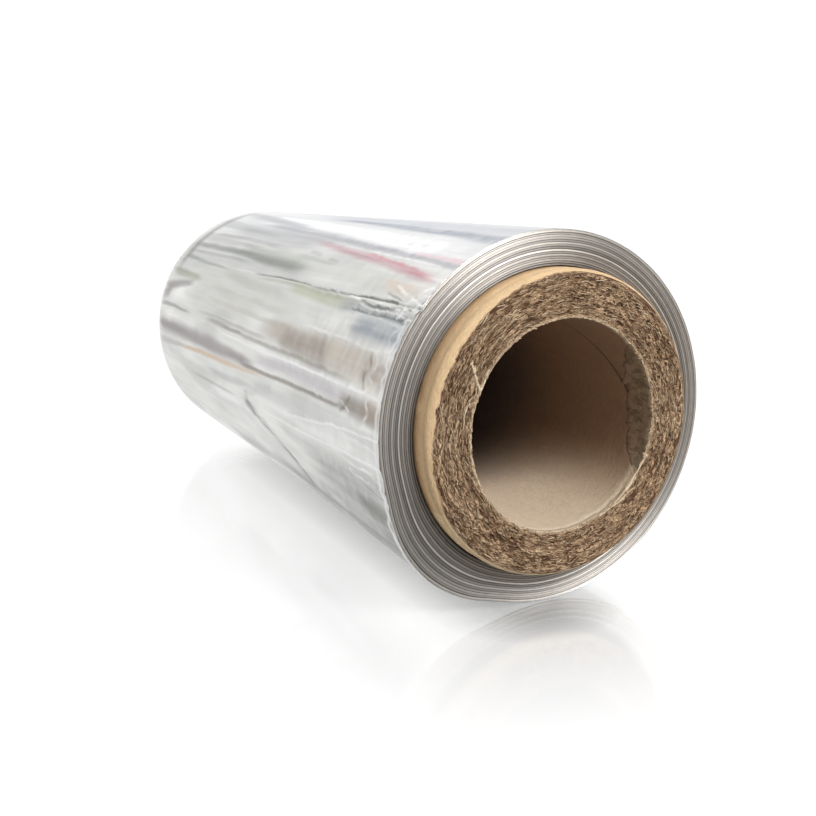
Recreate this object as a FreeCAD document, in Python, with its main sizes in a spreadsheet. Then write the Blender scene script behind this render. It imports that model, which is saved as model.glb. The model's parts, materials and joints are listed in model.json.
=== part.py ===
import FreeCAD, Part
import math
import os
import Sketcher

# Roll of aluminium foil wound on a thick cardboard core, standing on one end.
# The Z axis is the axis of the roll. The origin is the centre of the lower core end.

SIZES = [
    ("coreBore", 76.2, "diameter of the bore through the core, 3 in"),
    ("coreWall", 16.9, "thickness of the wound cardboard"),
    ("coreLength", 323.0, "length of the core, which stands out at both ends of the foil"),
    ("shoulderRadius", 2.5, "rounding of the core's outer edge at each end"),
    ("webWidth", 304.4, "width of the foil itself"),
    ("edgeWander", 0.6, "how far the foil wandered sideways while it was wound"),
    ("foilBuild", 13.0, "radial thickness of all the turns together"),
    ("bandCount", 14, "groups of turns that can be told apart on an end"),
    ("partingWidth", 0.6, "open ring between the innermost turn and the core"),
    ("partingDepth", 1.6, "depth of that open ring"),
    ("looseLift", 3.4, "how far the loose outer turn stands off at the upper end"),
    ("looseAngle", -24.0, "direction in which it stands off most, degrees"),
    ("looseSpread", 32.0, "angle from there to where it lies on the roll again"),
    ("looseReach", 150.0, "height over which the loose turn settles"),
    ("tailAngle", -107.0, "direction of the foil's straight tail edge, degrees"),
    ("tailLift", 0.3, "how far the tail edge stands off the turn below"),
]

LOOSE_LEVELS = 4          # sections of the loose turn above the tight stretch
SETTLED_SHARE = 0.12      # part of the lift that is left where the turn has settled
SETTLE_POWER = 1.4        # how quickly the lift grows towards the upper end
WANDER_ANGLE = 137.5      # degrees between two bands in the wander of the edges
SMALL_SWING = 0.35        # how unevenly the bands share the wander
CUT_MARGIN = 5.0          # how far a cutting profile reaches past what it cuts

CORE_BORE_RADIUS = "(Sizes.coreBore / 2)"
CORE_RADIUS = "(Sizes.coreBore / 2 + Sizes.coreWall)"
FOIL_RADIUS = "(Sizes.coreBore / 2 + Sizes.coreWall + Sizes.foilBuild)"
FOIL_HEIGHT = "(Sizes.webWidth + Sizes.edgeWander)"
FOIL_BASE = "((Sizes.coreLength - Sizes.webWidth - Sizes.edgeWander) / 2)"


def fill_sheet(doc):
    sheet = doc.addObject("Spreadsheet::Sheet", "Sizes")
    for row, (alias, value, meaning) in enumerate(SIZES, start=1):
        sheet.set("A%d" % row, meaning)
        sheet.set("B%d" % row, str(value))
        sheet.setAlias("B%d" % row, alias)
    doc.recompute()
    return sheet


def origin_plane(body, role):
    return next(plane for plane in body.Origin.OriginFeatures if plane.Role == role)


def add_sketch(body, name, role):
    sketch = body.newObject("Sketcher::SketchObject", name)
    sketch.AttachmentSupport = [(origin_plane(body, role), "")]
    sketch.MapMode = "FlatFace"
    return sketch


def hold_length(sketch, kind, args, expression, value):
    # One dimension of a sketch, tied to the sheet by an expression.
    index = sketch.addConstraint(Sketcher.Constraint(kind, *args, value))
    sketch.setExpression("Constraints[%d]" % index, expression)


def hold_point(sketch, element, end, x_expression, y_expression, point):
    origin = (-1, 1, element, end)
    hold_length(sketch, "DistanceX", origin, x_expression, point.x)
    hold_length(sketch, "DistanceY", origin, y_expression, point.y)


def polar(radius, degrees):
    turn = math.radians(degrees)
    return FreeCAD.Vector(radius * math.cos(turn), radius * math.sin(turn), 0)


def polar_expressions(radius, degrees):
    return "%s * cos(%s * 1 deg)" % (radius, degrees), "%s * sin(%s * 1 deg)" % (radius, degrees)


def revolve(body, kind, name, sketch):
    feature = body.newObject(kind, name)
    feature.Profile = sketch
    feature.ReferenceAxis = (sketch, ["V_Axis"])
    feature.Angle = 360
    return feature


def make_core(doc, sheet):
    # A wound cardboard tube, sawn square, its outer corners rounded by handling.
    body = doc.addObject("PartDesign::Body", "CardboardCore")
    body.Label = "cardboard_core"
    section = add_sketch(body, "CoreSection", "XZ_Plane")
    inner = sheet.coreBore / 2
    outer = inner + sheet.coreWall
    top = sheet.coreLength
    round_by = sheet.shoulderRadius
    normal = FreeCAD.Vector(0, 0, 1)

    def corner_arc(height, start, end):
        centre = FreeCAD.Vector(outer - round_by, height, 0)
        circle = Part.Circle(centre, normal, round_by)
        return Part.ArcOfCircle(circle, math.radians(start), math.radians(end))

    def side(x_start, y_start, x_end, y_end):
        start = FreeCAD.Vector(x_start, y_start, 0)
        return Part.LineSegment(start, FreeCAD.Vector(x_end, y_end, 0))

    lower_end = section.addGeometry(side(inner, 0, outer - round_by, 0))
    lower_shoulder = section.addGeometry(corner_arc(round_by, -90, 0))
    outside = section.addGeometry(side(outer, round_by, outer, top - round_by))
    upper_shoulder = section.addGeometry(corner_arc(top - round_by, 0, 90))
    upper_end = section.addGeometry(side(outer - round_by, top, inner, top))
    bore = section.addGeometry(side(inner, top, inner, 0))

    section.addConstraint(Sketcher.Constraint("Tangent", lower_end, 2, lower_shoulder, 1))
    section.addConstraint(Sketcher.Constraint("Tangent", lower_shoulder, 2, outside, 1))
    section.addConstraint(Sketcher.Constraint("Tangent", outside, 2, upper_shoulder, 1))
    section.addConstraint(Sketcher.Constraint("Tangent", upper_shoulder, 2, upper_end, 1))
    section.addConstraint(Sketcher.Constraint("Coincident", upper_end, 2, bore, 1))
    section.addConstraint(Sketcher.Constraint("Coincident", bore, 2, lower_end, 1))
    section.addConstraint(Sketcher.Constraint("Horizontal", lower_end))
    section.addConstraint(Sketcher.Constraint("Vertical", outside))
    section.addConstraint(Sketcher.Constraint("Vertical", bore))
    section.addConstraint(Sketcher.Constraint("Equal", lower_shoulder, upper_shoulder))
    hold_point(section, lower_end, 1, CORE_BORE_RADIUS, "0", FreeCAD.Vector(inner, 0, 0))
    hold_length(section, "DistanceX", (lower_end, 1, outside, 1), "Sizes.coreWall",
                sheet.coreWall)
    hold_length(section, "DistanceY", (bore, 2, bore, 1), "Sizes.coreLength", top)
    hold_length(section, "Radius", (lower_shoulder,), "Sizes.shoulderRadius", round_by)
    revolve(body, "PartDesign::Revolution", "CoreTube", section)
    return body


def loose_section(body, sheet, name, height_expression, lift_expression, lift):
    # Outline of the outermost turn at one height. It is a circle, apart from the loose
    # stretch: there the foil leaves the roll along a tangent, goes round a tighter arc
    # and comes back along another tangent. The tail edge is the short radial step.
    sketch = add_sketch(body, name, "XY_Plane")
    sketch.setExpression("AttachmentOffset.Base.z", height_expression)
    radius = sheet.coreBore / 2 + sheet.coreWall + sheet.foilBuild
    spread = sheet.looseSpread
    shift = lift / (1 - math.cos(math.radians(spread)))
    crest_radius = radius + lift - shift
    centre = polar(shift, sheet.looseAngle)
    leaves = sheet.looseAngle - spread
    lands = sheet.looseAngle + spread
    tail_foot = polar(radius, sheet.tailAngle)
    tail_top = polar(radius + sheet.tailLift, sheet.tailAngle)
    leave_point = polar(radius, leaves)
    crest_start = centre + polar(crest_radius, leaves)
    crest_end = centre + polar(crest_radius, lands)
    land_point = polar(radius, lands)

    # The tail arc touches the roll where the loose stretch leaves it.
    chord = tail_top - leave_point
    inward = polar(1, leaves + 180)
    tail_radius = chord.Length ** 2 / (2 * chord.dot(inward))
    tail_centre = leave_point + inward * tail_radius
    from_tail = tail_top - tail_centre
    tail_turn = math.atan2(from_tail.y, from_tail.x)

    axis = FreeCAD.Vector(0, 0, 1)
    tight_circle = Part.Circle(FreeCAD.Vector(0, 0, 0), axis, radius)
    tail_circle = Part.Circle(tail_centre, axis, tail_radius)
    crest_circle = Part.Circle(centre, axis, crest_radius)
    end_of_tight = math.radians(sheet.tailAngle + 360)
    tight = sketch.addGeometry(
        Part.ArcOfCircle(tight_circle, math.radians(lands), end_of_tight))
    step = sketch.addGeometry(Part.LineSegment(tail_foot, tail_top))
    tail = sketch.addGeometry(Part.ArcOfCircle(tail_circle, tail_turn, math.radians(leaves)))
    rise = sketch.addGeometry(Part.LineSegment(leave_point, crest_start))
    crest = sketch.addGeometry(
        Part.ArcOfCircle(crest_circle, math.radians(leaves), math.radians(lands)))
    fall = sketch.addGeometry(Part.LineSegment(crest_end, land_point))

    sketch.addConstraint(Sketcher.Constraint("Coincident", tight, 3, -1, 1))
    sketch.addConstraint(Sketcher.Constraint("Coincident", tight, 2, step, 1))
    sketch.addConstraint(Sketcher.Constraint("Coincident", step, 2, tail, 1))
    sketch.addConstraint(Sketcher.Constraint("Tangent", tail, 2, rise, 1))
    sketch.addConstraint(Sketcher.Constraint("Tangent", rise, 2, crest, 1))
    sketch.addConstraint(Sketcher.Constraint("Tangent", crest, 2, fall, 1))
    sketch.addConstraint(Sketcher.Constraint("Tangent", fall, 2, tight, 1))

    spread_text = "cos(Sizes.looseSpread * 1 deg)"
    shift_text = "(%s / (1 - %s))" % (lift_expression, spread_text)
    crest_text = "%s + %s - %s" % (FOIL_RADIUS, lift_expression, shift_text)
    hold_length(sketch, "Radius", (tight,), FOIL_RADIUS, radius)
    foot_x, foot_y = polar_expressions(FOIL_RADIUS, "Sizes.tailAngle")
    hold_length(sketch, "DistanceX", (-1, 1, step, 1), foot_x, tail_foot.x)
    top_x, top_y = polar_expressions("(%s + Sizes.tailLift)" % FOIL_RADIUS, "Sizes.tailAngle")
    hold_point(sketch, step, 2, top_x, top_y, tail_top)
    leave_x, leave_y = polar_expressions(FOIL_RADIUS, "(Sizes.looseAngle - Sizes.looseSpread)")
    hold_point(sketch, rise, 1, leave_x, leave_y, leave_point)
    centre_x, centre_y = polar_expressions(shift_text, "Sizes.looseAngle")
    hold_point(sketch, crest, 3, centre_x, centre_y, centre)
    hold_length(sketch, "Radius", (crest,), crest_text, crest_radius)
    return sketch


def band_profile(body, sheet, name, base_expression, base, outward):
    # What is cut off one end of the turns. Its inner side runs in and out as the foil
    # wandered sideways while it was wound. The foil keeps its width all the way, so
    # where the turns stand proud at one end they stand back at the other.
    sketch = add_sketch(body, name, "XZ_Plane")
    count = int(sheet.bandCount)
    core_radius = sheet.coreBore / 2 + sheet.coreWall
    parting_text = "%s + Sizes.partingWidth" % CORE_RADIUS
    depth_text = "%s - %d * Sizes.partingDepth" % (base_expression, outward)
    depth = base - outward * sheet.partingDepth
    path = [(CORE_RADIUS, depth_text, core_radius, depth),
            (parting_text, depth_text, core_radius + sheet.partingWidth, depth)]
    for band in range(count + 1):
        swing = 0.5 + 0.5 * math.sin(math.radians(WANDER_ANGLE * band))
        share = SMALL_SWING * swing if band % 2 == 0 else 1 - SMALL_SWING * swing
        part = "%d / %d" % (band, count)
        radius_text = "%s + (Sizes.foilBuild - Sizes.partingWidth) * %s" % (parting_text, part)
        build = (sheet.foilBuild - sheet.partingWidth) * band / count
        path.append((radius_text, "%s + %.4f * Sizes.edgeWander" % (base_expression, share),
                     core_radius + sheet.partingWidth + build, base + share * sheet.edgeWander))
    last_height_text, last_height = path[-1][1], path[-1][3]
    far_text = "%s + Sizes.looseLift + %g" % (FOIL_RADIUS, CUT_MARGIN)
    far_radius = core_radius + sheet.foilBuild + sheet.looseLift + CUT_MARGIN
    clear_text = "%s + %d * (Sizes.edgeWander + %g)" % (base_expression, outward, CUT_MARGIN)
    clear = base + outward * (sheet.edgeWander + CUT_MARGIN)
    path.append((far_text, last_height_text, far_radius, last_height))
    path.append((far_text, clear_text, far_radius, clear))
    path.append((CORE_RADIUS, clear_text, core_radius, clear))

    points = [FreeCAD.Vector(radius, height, 0) for _, _, radius, height in path]
    total = len(points)
    for index, start in enumerate(points):
        sketch.addGeometry(Part.LineSegment(start, points[(index + 1) % total]))
    for index, (radius_text, height_text, _, _) in enumerate(path):
        sketch.addConstraint(Sketcher.Constraint("Coincident", index, 2, (index + 1) % total, 1))
        hold_point(sketch, index, 1, radius_text, height_text, points[index])
    return sketch


def make_foil(doc, sheet):
    # All the turns of foil as one solid, from the core out to the loose outer turn.
    body = doc.addObject("PartDesign::Body", "FoilTurns")
    body.Label = "foil_turns"
    base = (sheet.coreLength - sheet.webWidth - sheet.edgeWander) / 2

    sections = []
    settled = "(%g * Sizes.looseLift)" % SETTLED_SHARE
    sections.append(loose_section(body, sheet, "LowerEdge", FOIL_BASE, settled,
                                  SETTLED_SHARE * sheet.looseLift))
    for level in range(LOOSE_LEVELS):
        way = level / (LOOSE_LEVELS - 1)
        share = SETTLED_SHARE + (1 - SETTLED_SHARE) * way ** SETTLE_POWER
        height = "%s + %s - Sizes.looseReach * %.4f" % (FOIL_BASE, FOIL_HEIGHT, 1 - way)
        lift = "(%.4f * Sizes.looseLift)" % share
        sections.append(loose_section(body, sheet, "LooseTurn%d" % (level + 1), height, lift,
                                      share * sheet.looseLift))
    turns = body.newObject("PartDesign::AdditiveLoft", "WoundTurns")
    turns.Profile = sections[0]
    turns.Sections = sections[1:]
    turns.Ruled = True
    doc.recompute()

    seat = add_sketch(body, "CoreSeat", "XY_Plane")
    core_radius = sheet.coreBore / 2 + sheet.coreWall
    axis = FreeCAD.Vector(0, 0, 1)
    seat.addGeometry(Part.Circle(FreeCAD.Vector(0, 0, 0), axis, core_radius))
    seat.addConstraint(Sketcher.Constraint("Coincident", 0, 3, -1, 1))
    hold_length(seat, "Radius", (0,), CORE_RADIUS, core_radius)
    hole = body.newObject("PartDesign::Pocket", "CoreHole")
    hole.Profile = seat
    hole.Type = "ThroughAll"
    hole.Midplane = True
    doc.recompute()

    lower_text = FOIL_BASE
    upper_text = "%s + Sizes.webWidth" % FOIL_BASE
    lower = band_profile(body, sheet, "LowerBandEdges", lower_text, base, -1)
    revolve(body, "PartDesign::Groove", "LowerBands", lower)
    doc.recompute()
    upper = band_profile(body, sheet, "UpperBandEdges", upper_text, base + sheet.webWidth, 1)
    revolve(body, "PartDesign::Groove", "UpperBands", upper)
    return body


def check_and_write(doc, bodies):
    for item in doc.Objects:
        if "Invalid" in item.State or "Error" in item.State:
            raise RuntimeError("%s failed: %s" % (item.Name, item.State))
    for body in bodies:
        shape = body.Shape
        if shape.isNull() or not shape.isValid() or len(shape.Solids) != 1:
            raise RuntimeError("%s is not one valid solid" % body.Label)
    os.makedirs("parts", exist_ok=True)
    for body in bodies:
        body.Shape.exportStep("parts/%s.step" % body.Label)
        box = body.Shape.BoundBox
        print("%s: volume %.0f mm3, z %.2f to %.2f, widest %.2f x %.2f" % (
            body.Label, body.Shape.Volume, box.ZMin, box.ZMax, box.XLength, box.YLength))


def main():
    doc = FreeCAD.newDocument("FoilRoll")
    sheet = fill_sheet(doc)
    bodies = [make_core(doc, sheet), make_foil(doc, sheet)]
    doc.recompute()
    check_and_write(doc, bodies)


main()
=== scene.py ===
import json
import math
import bpy
import numpy as np
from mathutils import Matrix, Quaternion, Vector


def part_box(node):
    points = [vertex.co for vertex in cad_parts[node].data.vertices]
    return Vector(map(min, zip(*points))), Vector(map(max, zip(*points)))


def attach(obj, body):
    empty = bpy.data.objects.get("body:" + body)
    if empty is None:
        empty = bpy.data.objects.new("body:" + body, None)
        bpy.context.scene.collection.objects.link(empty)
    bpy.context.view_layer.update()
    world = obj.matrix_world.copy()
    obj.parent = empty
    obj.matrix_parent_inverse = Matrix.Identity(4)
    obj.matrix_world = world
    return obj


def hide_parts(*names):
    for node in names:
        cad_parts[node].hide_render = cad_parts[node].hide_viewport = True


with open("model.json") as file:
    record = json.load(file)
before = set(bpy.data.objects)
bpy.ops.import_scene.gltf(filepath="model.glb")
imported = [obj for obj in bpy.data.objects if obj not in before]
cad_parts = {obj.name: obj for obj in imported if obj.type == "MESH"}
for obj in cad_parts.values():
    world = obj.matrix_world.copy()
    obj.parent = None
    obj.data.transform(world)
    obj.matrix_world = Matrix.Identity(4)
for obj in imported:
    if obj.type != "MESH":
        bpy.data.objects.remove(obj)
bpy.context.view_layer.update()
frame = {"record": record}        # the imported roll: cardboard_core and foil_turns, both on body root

mm = 0.001

# Sizes that every piece shares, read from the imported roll.
coreLow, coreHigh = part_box("cardboard_core")
foilLow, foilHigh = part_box("foil_turns")
boreRadius = frame["record"]["mounts"][0]["dims"]["r_mm"]
roll = {
    "bore": boreRadius,
    "core": -coreLow.x / mm,
    "foil": -foilLow.x / mm,
    "coreTop": coreHigh.z / mm,
    "foilBase": foilLow.z / mm,
    "foilTop": foilHigh.z / mm,
}

# The loose outer turn, as in the solid: where it stands off, how far and over what height.
looseTurn = {"lift": 3.4, "angle": -24.0, "spread": 32.0, "reach": 150.0, "settled": 0.12,
             "power": 1.4, "tailAngle": -107.0, "tailLift": 0.3}


def smoothStep(low, high, value):
    part = np.clip((value - low) / (high - low), 0, 1)
    return part * part * (3 - 2 * part)


def within(value, edges):
    # 1 between the middle two of four edges, falling to 0 at the outer two.
    return smoothStep(edges[0], edges[1], value) * smoothStep(edges[3], edges[2], value)


def latticeNoise(points, seed):
    # Smooth random values from -1 to 1 at an array of points, the same on every run.
    base = np.floor(points).astype(np.int64)
    part = points - base
    part = part * part * (3 - 2 * part)
    total = np.zeros(len(points))
    for corner in range(8):
        step = np.array([corner & 1, corner >> 1 & 1, corner >> 2 & 1])
        cell = base + step
        mixed = (cell[:, 0] * 73856093) ^ (cell[:, 1] * 19349663) ^ (cell[:, 2] * 83492791)
        mixed = (mixed + seed * 974711) & 0xFFFFFFFF
        mixed = (mixed ^ (mixed >> 15)) * 2246822519 & 0xFFFFFFFF
        mixed = (mixed ^ (mixed >> 13)) * 3266489917 & 0xFFFFFFFF
        mixed = mixed ^ (mixed >> 16)
        weight = np.prod(np.where(step == 1, part, 1 - part), axis=1)
        total += weight * (mixed / 2147483648.0 - 1)
    return total


def layeredNoise(points, seed, layers=3):
    total = np.zeros(len(points))
    strength = 1.0
    for layer in range(layers):
        total += strength * latticeNoise(points * 2 ** layer, seed + layer)
        strength *= 0.5
    return total / (2 - 2 ** (1 - layers))


def ringMesh(name, positions, columns, closed=True, flip=False):
    # A surface of rows that each run once round the roll, with places in millimetres. Closed joins
    # the last row to the first; flip turns the faces, for rows that run outwards over the top.
    rows = len(positions) // columns
    column = np.arange(columns)
    after = (column + 1) % columns
    quads = []
    for row in range(rows if closed else rows - 1):
        below = row * columns
        above = (row + 1) % rows * columns
        quads.append(np.stack([below + column, below + after, above + after, above + column], 1))
    quads = np.concatenate(quads)
    if flip:
        quads = quads[:, ::-1]
    mesh = bpy.data.meshes.new(name)
    mesh.vertices.add(len(positions))
    mesh.vertices.foreach_set("co", (positions * mm).astype(np.float32).ravel())
    mesh.loops.add(quads.size)
    mesh.loops.foreach_set("vertex_index", quads.ravel().astype(np.int32))
    mesh.polygons.add(len(quads))
    mesh.polygons.foreach_set("loop_start", np.arange(0, quads.size, 4, dtype=np.int32))
    mesh.polygons.foreach_set("loop_total", np.full(len(quads), 4, np.int32))
    mesh.update(calc_edges=True)
    mesh.validate()
    mesh.polygons.foreach_set("use_smooth", np.ones(len(mesh.polygons), bool))
    piece = bpy.data.objects.new(name, mesh)
    bpy.context.collection.objects.link(piece)
    return piece


def storeColour(piece, name, colours):
    layer = piece.data.color_attributes.new(name, "FLOAT_COLOR", "POINT")
    packed = np.ones((len(colours), 4), np.float32)
    packed[:, :3] = colours
    layer.data.foreach_set("color", packed.ravel())


def storeNumber(piece, name, values):
    layer = piece.data.attributes.new(name, "FLOAT", "POINT")
    layer.data.foreach_set("value", values.astype(np.float32))


def storeVector(piece, name, values):
    layer = piece.data.attributes.new(name, "FLOAT_VECTOR", "POINT")
    layer.data.foreach_set("vector", values.astype(np.float32).ravel())


def linear(red, green, blue):
    # A colour as seen on a screen, 0 to 255, in the linear values that a shader takes.
    seen = np.array([red, green, blue]) / 255.0
    return np.where(seen <= 0.04045, seen / 12.92, ((seen + 0.055) / 1.055) ** 2.4)


def lineAmount(across, along, points, width):
    # 1 along a drawn line and 0 beside it, with soft sides, for arrays of places. The line's
    # corners are cut twice, so it bends softly.
    line = [np.array(point, float) for point in points]
    for _ in range(2):
        cut = [line[0]]
        for start, end in zip(line[:-1], line[1:]):
            cut += [start * 0.75 + end * 0.25, start * 0.25 + end * 0.75]
        line = cut + [line[-1]]
    nearest = np.full(len(across), np.inf)
    for start, end in zip(line[:-1], line[1:]):
        reach = end - start
        length = max(reach @ reach, 1e-9)
        way = ((across - start[0]) * reach[0] + (along - start[1]) * reach[1]) / length
        way = np.clip(way, 0, 1)
        away = np.hypot(across - start[0] - way * reach[0], along - start[1] - way * reach[1])
        nearest = np.minimum(nearest, away)
    return smoothStep(1.5, 0.2, nearest / width)


def flatColour(values, count):
    return np.tile(linear(*values), (count, 1))


def blendColours(first, second, amount):
    # Moves an array of colours towards one colour, which is written from 0 to 255.
    return first + (linear(*second) - first) * amount[:, None]


def aroundAxis(radius, degrees, height):
    turn = np.radians(degrees)
    return np.stack([radius * np.cos(turn), radius * np.sin(turn), height], 1)


def signedAngle(degrees):
    return (degrees + 180) % 360 - 180


def turnRadius(degrees, lift):
    # Outer radius of the loose turn at an angle, for an array of angles and of lifts.
    spread = math.radians(looseTurn["spread"])
    away = np.abs(np.radians(signedAngle(degrees - looseTurn["angle"])))
    shift = np.maximum(lift, 1e-4) / (1 - math.cos(spread))
    crest = roll["foil"] + lift - shift
    crestEnd = np.arctan2(crest * math.sin(spread), shift + crest * math.cos(spread))
    onCrest = np.sqrt(np.maximum(crest ** 2 - (shift * np.sin(away)) ** 2, 0))
    onCrest = shift * np.cos(away) + onCrest
    steepest = 1.2      # radians, short of where the tangent would run off
    onTangent = roll["foil"] / np.cos(np.minimum(spread - away, steepest))
    radius = np.where(away < crestEnd, onCrest, np.where(away < spread, onTangent, roll["foil"]))
    fromTail = (degrees - looseTurn["tailAngle"]) % 360
    tailReach = looseTurn["angle"] - looseTurn["spread"] - looseTurn["tailAngle"]
    tail = looseTurn["tailLift"] * np.clip(1 - fromTail / tailReach, 0, 1) ** 2
    return radius + tail


def looseLift(heights):
    way = np.clip(1 - (roll["foilTop"] - heights) / looseTurn["reach"], 0, 1)
    share = looseTurn["settled"] + (1 - looseTurn["settled"]) * way ** looseTurn["power"]
    return looseTurn["lift"] * share


# The photograph's camera, in metres and degrees.
camera = {"place": (0.0, -0.21827, 0.60126), "lookAt": (0.015588, 0.001825, 0.209067),
          "turn": 112.91, "lens": 44.07, "sensor": 36.0, "nearest": 0.01}


def makeCamera():
    lensData = bpy.data.cameras.new("photoCamera")
    lensData.lens = camera["lens"]
    lensData.sensor_width = camera["sensor"]
    lensData.clip_start = camera["nearest"]
    holder = bpy.data.objects.new("photoCamera", lensData)
    bpy.context.collection.objects.link(holder)
    direction = Vector(camera["lookAt"]) - Vector(camera["place"])
    level = direction.to_track_quat("-Z", "Y")
    turned = Quaternion((0, 0, 1), math.radians(camera["turn"]))
    holder.rotation_mode = "QUATERNION"
    holder.rotation_quaternion = level @ turned
    holder.location = camera["place"]
    bpy.context.scene.camera = holder


makeCamera()
print("camera placed")


# Sawn cardboard: how rough its ends are, in millimetres and degrees, and its colours.
core = {"columns": 640, "boreRows": 44, "boreSpacing": 2.6, "endRows": 68, "shoulderRows": 9,
        "sideRows": (3.6, 4.8, 6.2, 7.6, 9.2, 12.0), "baseRows": (12.0, 9.2, 6.0, 3.6),
        "baseShoulderRows": 5, "lowerRows": 16,
        "plies": 14, "plyStep": 0.14, "fibreDepth": 0.30, "pitDepth": 0.55, "shoulder": 2.5,
        "lip": 0.35, "splinterRise": 0.45, "raggedRim": 0.30, "sideWave": 0.05,
        "wornAngle": -95.0, "wornDrop": 0.4, "wornWidth": 0.4, "leastSawn": 0.9,
        "tornFrom": 78.0, "tornTo": 158.0, "tornDepth": 14.0, "tornStep": 0.45,
        "ledgeDepth": 2.4, "ledgeStep": 0.16, "ledgeFrom": (-50.0, -25.0), "ledgeTo": (85.0, 60.0),
        "seamAngle": 127.6, "seamDepth": 15.5, "seamSlope": 0.434,
        "flakeAngle": 66.0, "flakeSpread": 20.0, "flakeDepth": 3.4,
        "litFrom": -60.0, "litTo": 78.0, "darkens": (45.0, 110.0), "browner": (4.6, 9.4),
        "endRoughness": 0.9, "sideRoughness": 0.6,
        "middle": (196, 162, 127), "light": (220, 190, 154), "shadow": (140, 106, 76),
        "cream": (226, 208, 180), "scuffed": (128, 86, 64),
        "tan": (214, 183, 143), "tanShade": (176, 142, 106), "dust": (236, 208, 168),
        "paleTan": (240, 214, 172), "paper": (224, 203, 178), "shadePaper": (150, 121, 97),
        "deepPaper": (116, 99, 91), "torn": (164, 141, 117), "ledgeEdge": (246, 232, 208)}


def coreProfile():
    # Radius, height and part of each row: up the bore, out over the end, down outside, back below.
    inner, outer, top, curve = roll["bore"], roll["core"], roll["coreTop"], core["shoulder"]
    rows = []
    for step in range(core["boreRows"] + 1):
        way = step / core["boreRows"]
        rows.append((inner, top * (1 - (1 - way) ** core["boreSpacing"]), "bore"))
    for step in range(1, core["endRows"] + 1):
        way = step / core["endRows"]
        rows.append((inner + (outer - curve - inner) * way, top, "upper"))
    for step in range(1, core["shoulderRows"] + 1):
        turn = math.radians(90 * step / core["shoulderRows"])
        rows.append((outer - curve + curve * math.sin(turn), top - curve + curve * math.cos(turn),
                     "outside"))
    for down in core["sideRows"]:
        rows.append((outer, top - down, "outside"))
    for height in core["baseRows"]:
        rows.append((outer, height, "outside"))
    for step in range(core["baseShoulderRows"] + 1):
        turn = math.radians(90 * step / core["baseShoulderRows"])
        rows.append((outer - curve + curve * math.cos(turn), curve - curve * math.sin(turn),
                     "outside"))
    for step in range(1, core["lowerRows"]):
        way = step / core["lowerRows"]
        rows.append((outer - curve - (outer - curve - inner) * way, 0, "lower"))
    return rows


# Pale strands torn loose beside the bore: half width, then angle and radius of each point.
splinters = [
    (0.55, ((-102.5, 46.8), (-98.5, 43.2), (-94.5, 39.9), (-91.4, 37.6))),
    (0.45, ((-91.4, 37.8), (-96.0, 38.6), (-103.5, 39.2))),
    (0.38, ((-101.0, 44.2), (-97.6, 42.6), (-95.4, 40.6))),
    (0.30, ((-86.0, 41.0), (-80.0, 42.0), (-76.0, 41.4))),
    (0.42, ((90.0, 39.7), (82.0, 38.7), (74.0, 38.5))),
    (0.50, ((77.0, 39.6), (67.0, 38.6), (58.0, 38.6))),
    (0.36, ((64.0, 40.4), (55.0, 39.1), (47.0, 38.7))),
    (0.30, ((72.0, 41.2), (66.0, 40.1), (61.0, 39.5))),
]


def splinterAmount(radius, degrees):
    across, along, _ = aroundAxis(radius, degrees, radius).T
    total = np.zeros(len(radius))
    for width, points in splinters:
        line = [(far * math.cos(math.radians(bend)), far * math.sin(math.radians(bend)))
                for bend, far in points]
        total = np.maximum(total, lineAmount(across, along, line, width))
    return total


def aroundMean(radius, degrees):
    # A place on the sawn end as a point on its middle circle and a radius, in millimetres.
    mean = (roll["bore"] + roll["core"]) / 2
    return aroundAxis(mean, degrees, radius)


def sawnEnd(radius, degrees, seed, splintered=False):
    # Height and colour of the rough sawn end at an array of places.
    around = aroundMean(radius, degrees)
    bend = layeredNoise(around * [0.16, 0.16, 0.3], seed, 2)
    across = radius + 0.9 * bend
    ply = np.floor((across - roll["bore"]) / (roll["core"] - roll["bore"]) * core["plies"])
    apart = 7.3         # sets the noise of one ply far from the next
    each = np.stack([around[:, 0] * 0.06, around[:, 1] * 0.06, ply * apart], 1)
    step = core["plyStep"] * latticeNoise(each, seed + 3)
    strands = np.stack([around[:, 0] * 0.25, around[:, 1] * 0.25, across * 0.9], 1)
    strands = layeredNoise(strands, seed + 5, 3)
    tufts = layeredNoise(around * [0.55, 0.55, 0.8], seed + 9, 2)
    crack = smoothStep(0.16, 0.0, np.abs(strands)) * smoothStep(-0.5, 0.1, tufts)
    height = step + core["fibreDepth"] * (strands + 0.6 * tufts) - core["pitDepth"] * crack
    rimWidth = 1.0 + 0.9 * latticeNoise(around * [0.22, 0.22, 0.0], seed + 14)
    inRim = smoothStep(rimWidth, rimWidth * 0.3, radius - roll["bore"])
    fringe = 0.5 + 0.5 * layeredNoise(around * [0.7, 0.7, 0.9], seed + 15, 2)
    height += core["lip"] * inRim * fringe
    # The colour follows the relief's strands and tufts: lighter where raised and darker where low,
    # painted light and shade with random tone.
    tone = 0.5 * strands + 0.35 * tufts + 0.5 * layeredNoise(around * 0.07, seed + 20, 2)
    colour = flatColour(core["middle"], len(radius))
    colour = blendColours(colour, core["light"], smoothStep(0.0, 0.6, tone) * 0.8)
    colour = blendColours(colour, core["shadow"], smoothStep(0.05, -0.6, tone) * 0.6)
    colour = blendColours(colour, core["cream"], inRim * (0.30 + 0.65 * fringe))
    if splintered:
        loose = splinterAmount(radius, degrees)
        height += core["splinterRise"] * loose
        colour = blendColours(colour, core["cream"], loose * 0.9)
    return height, colour


def fringeNoise(around):
    return latticeNoise(around * [0.5, 0.5, 0.6], 97)


def raggedRim(around):
    return core["raggedRim"] * layeredNoise(around * [0.35, 0.35, 0.0], 95, 3)


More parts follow.
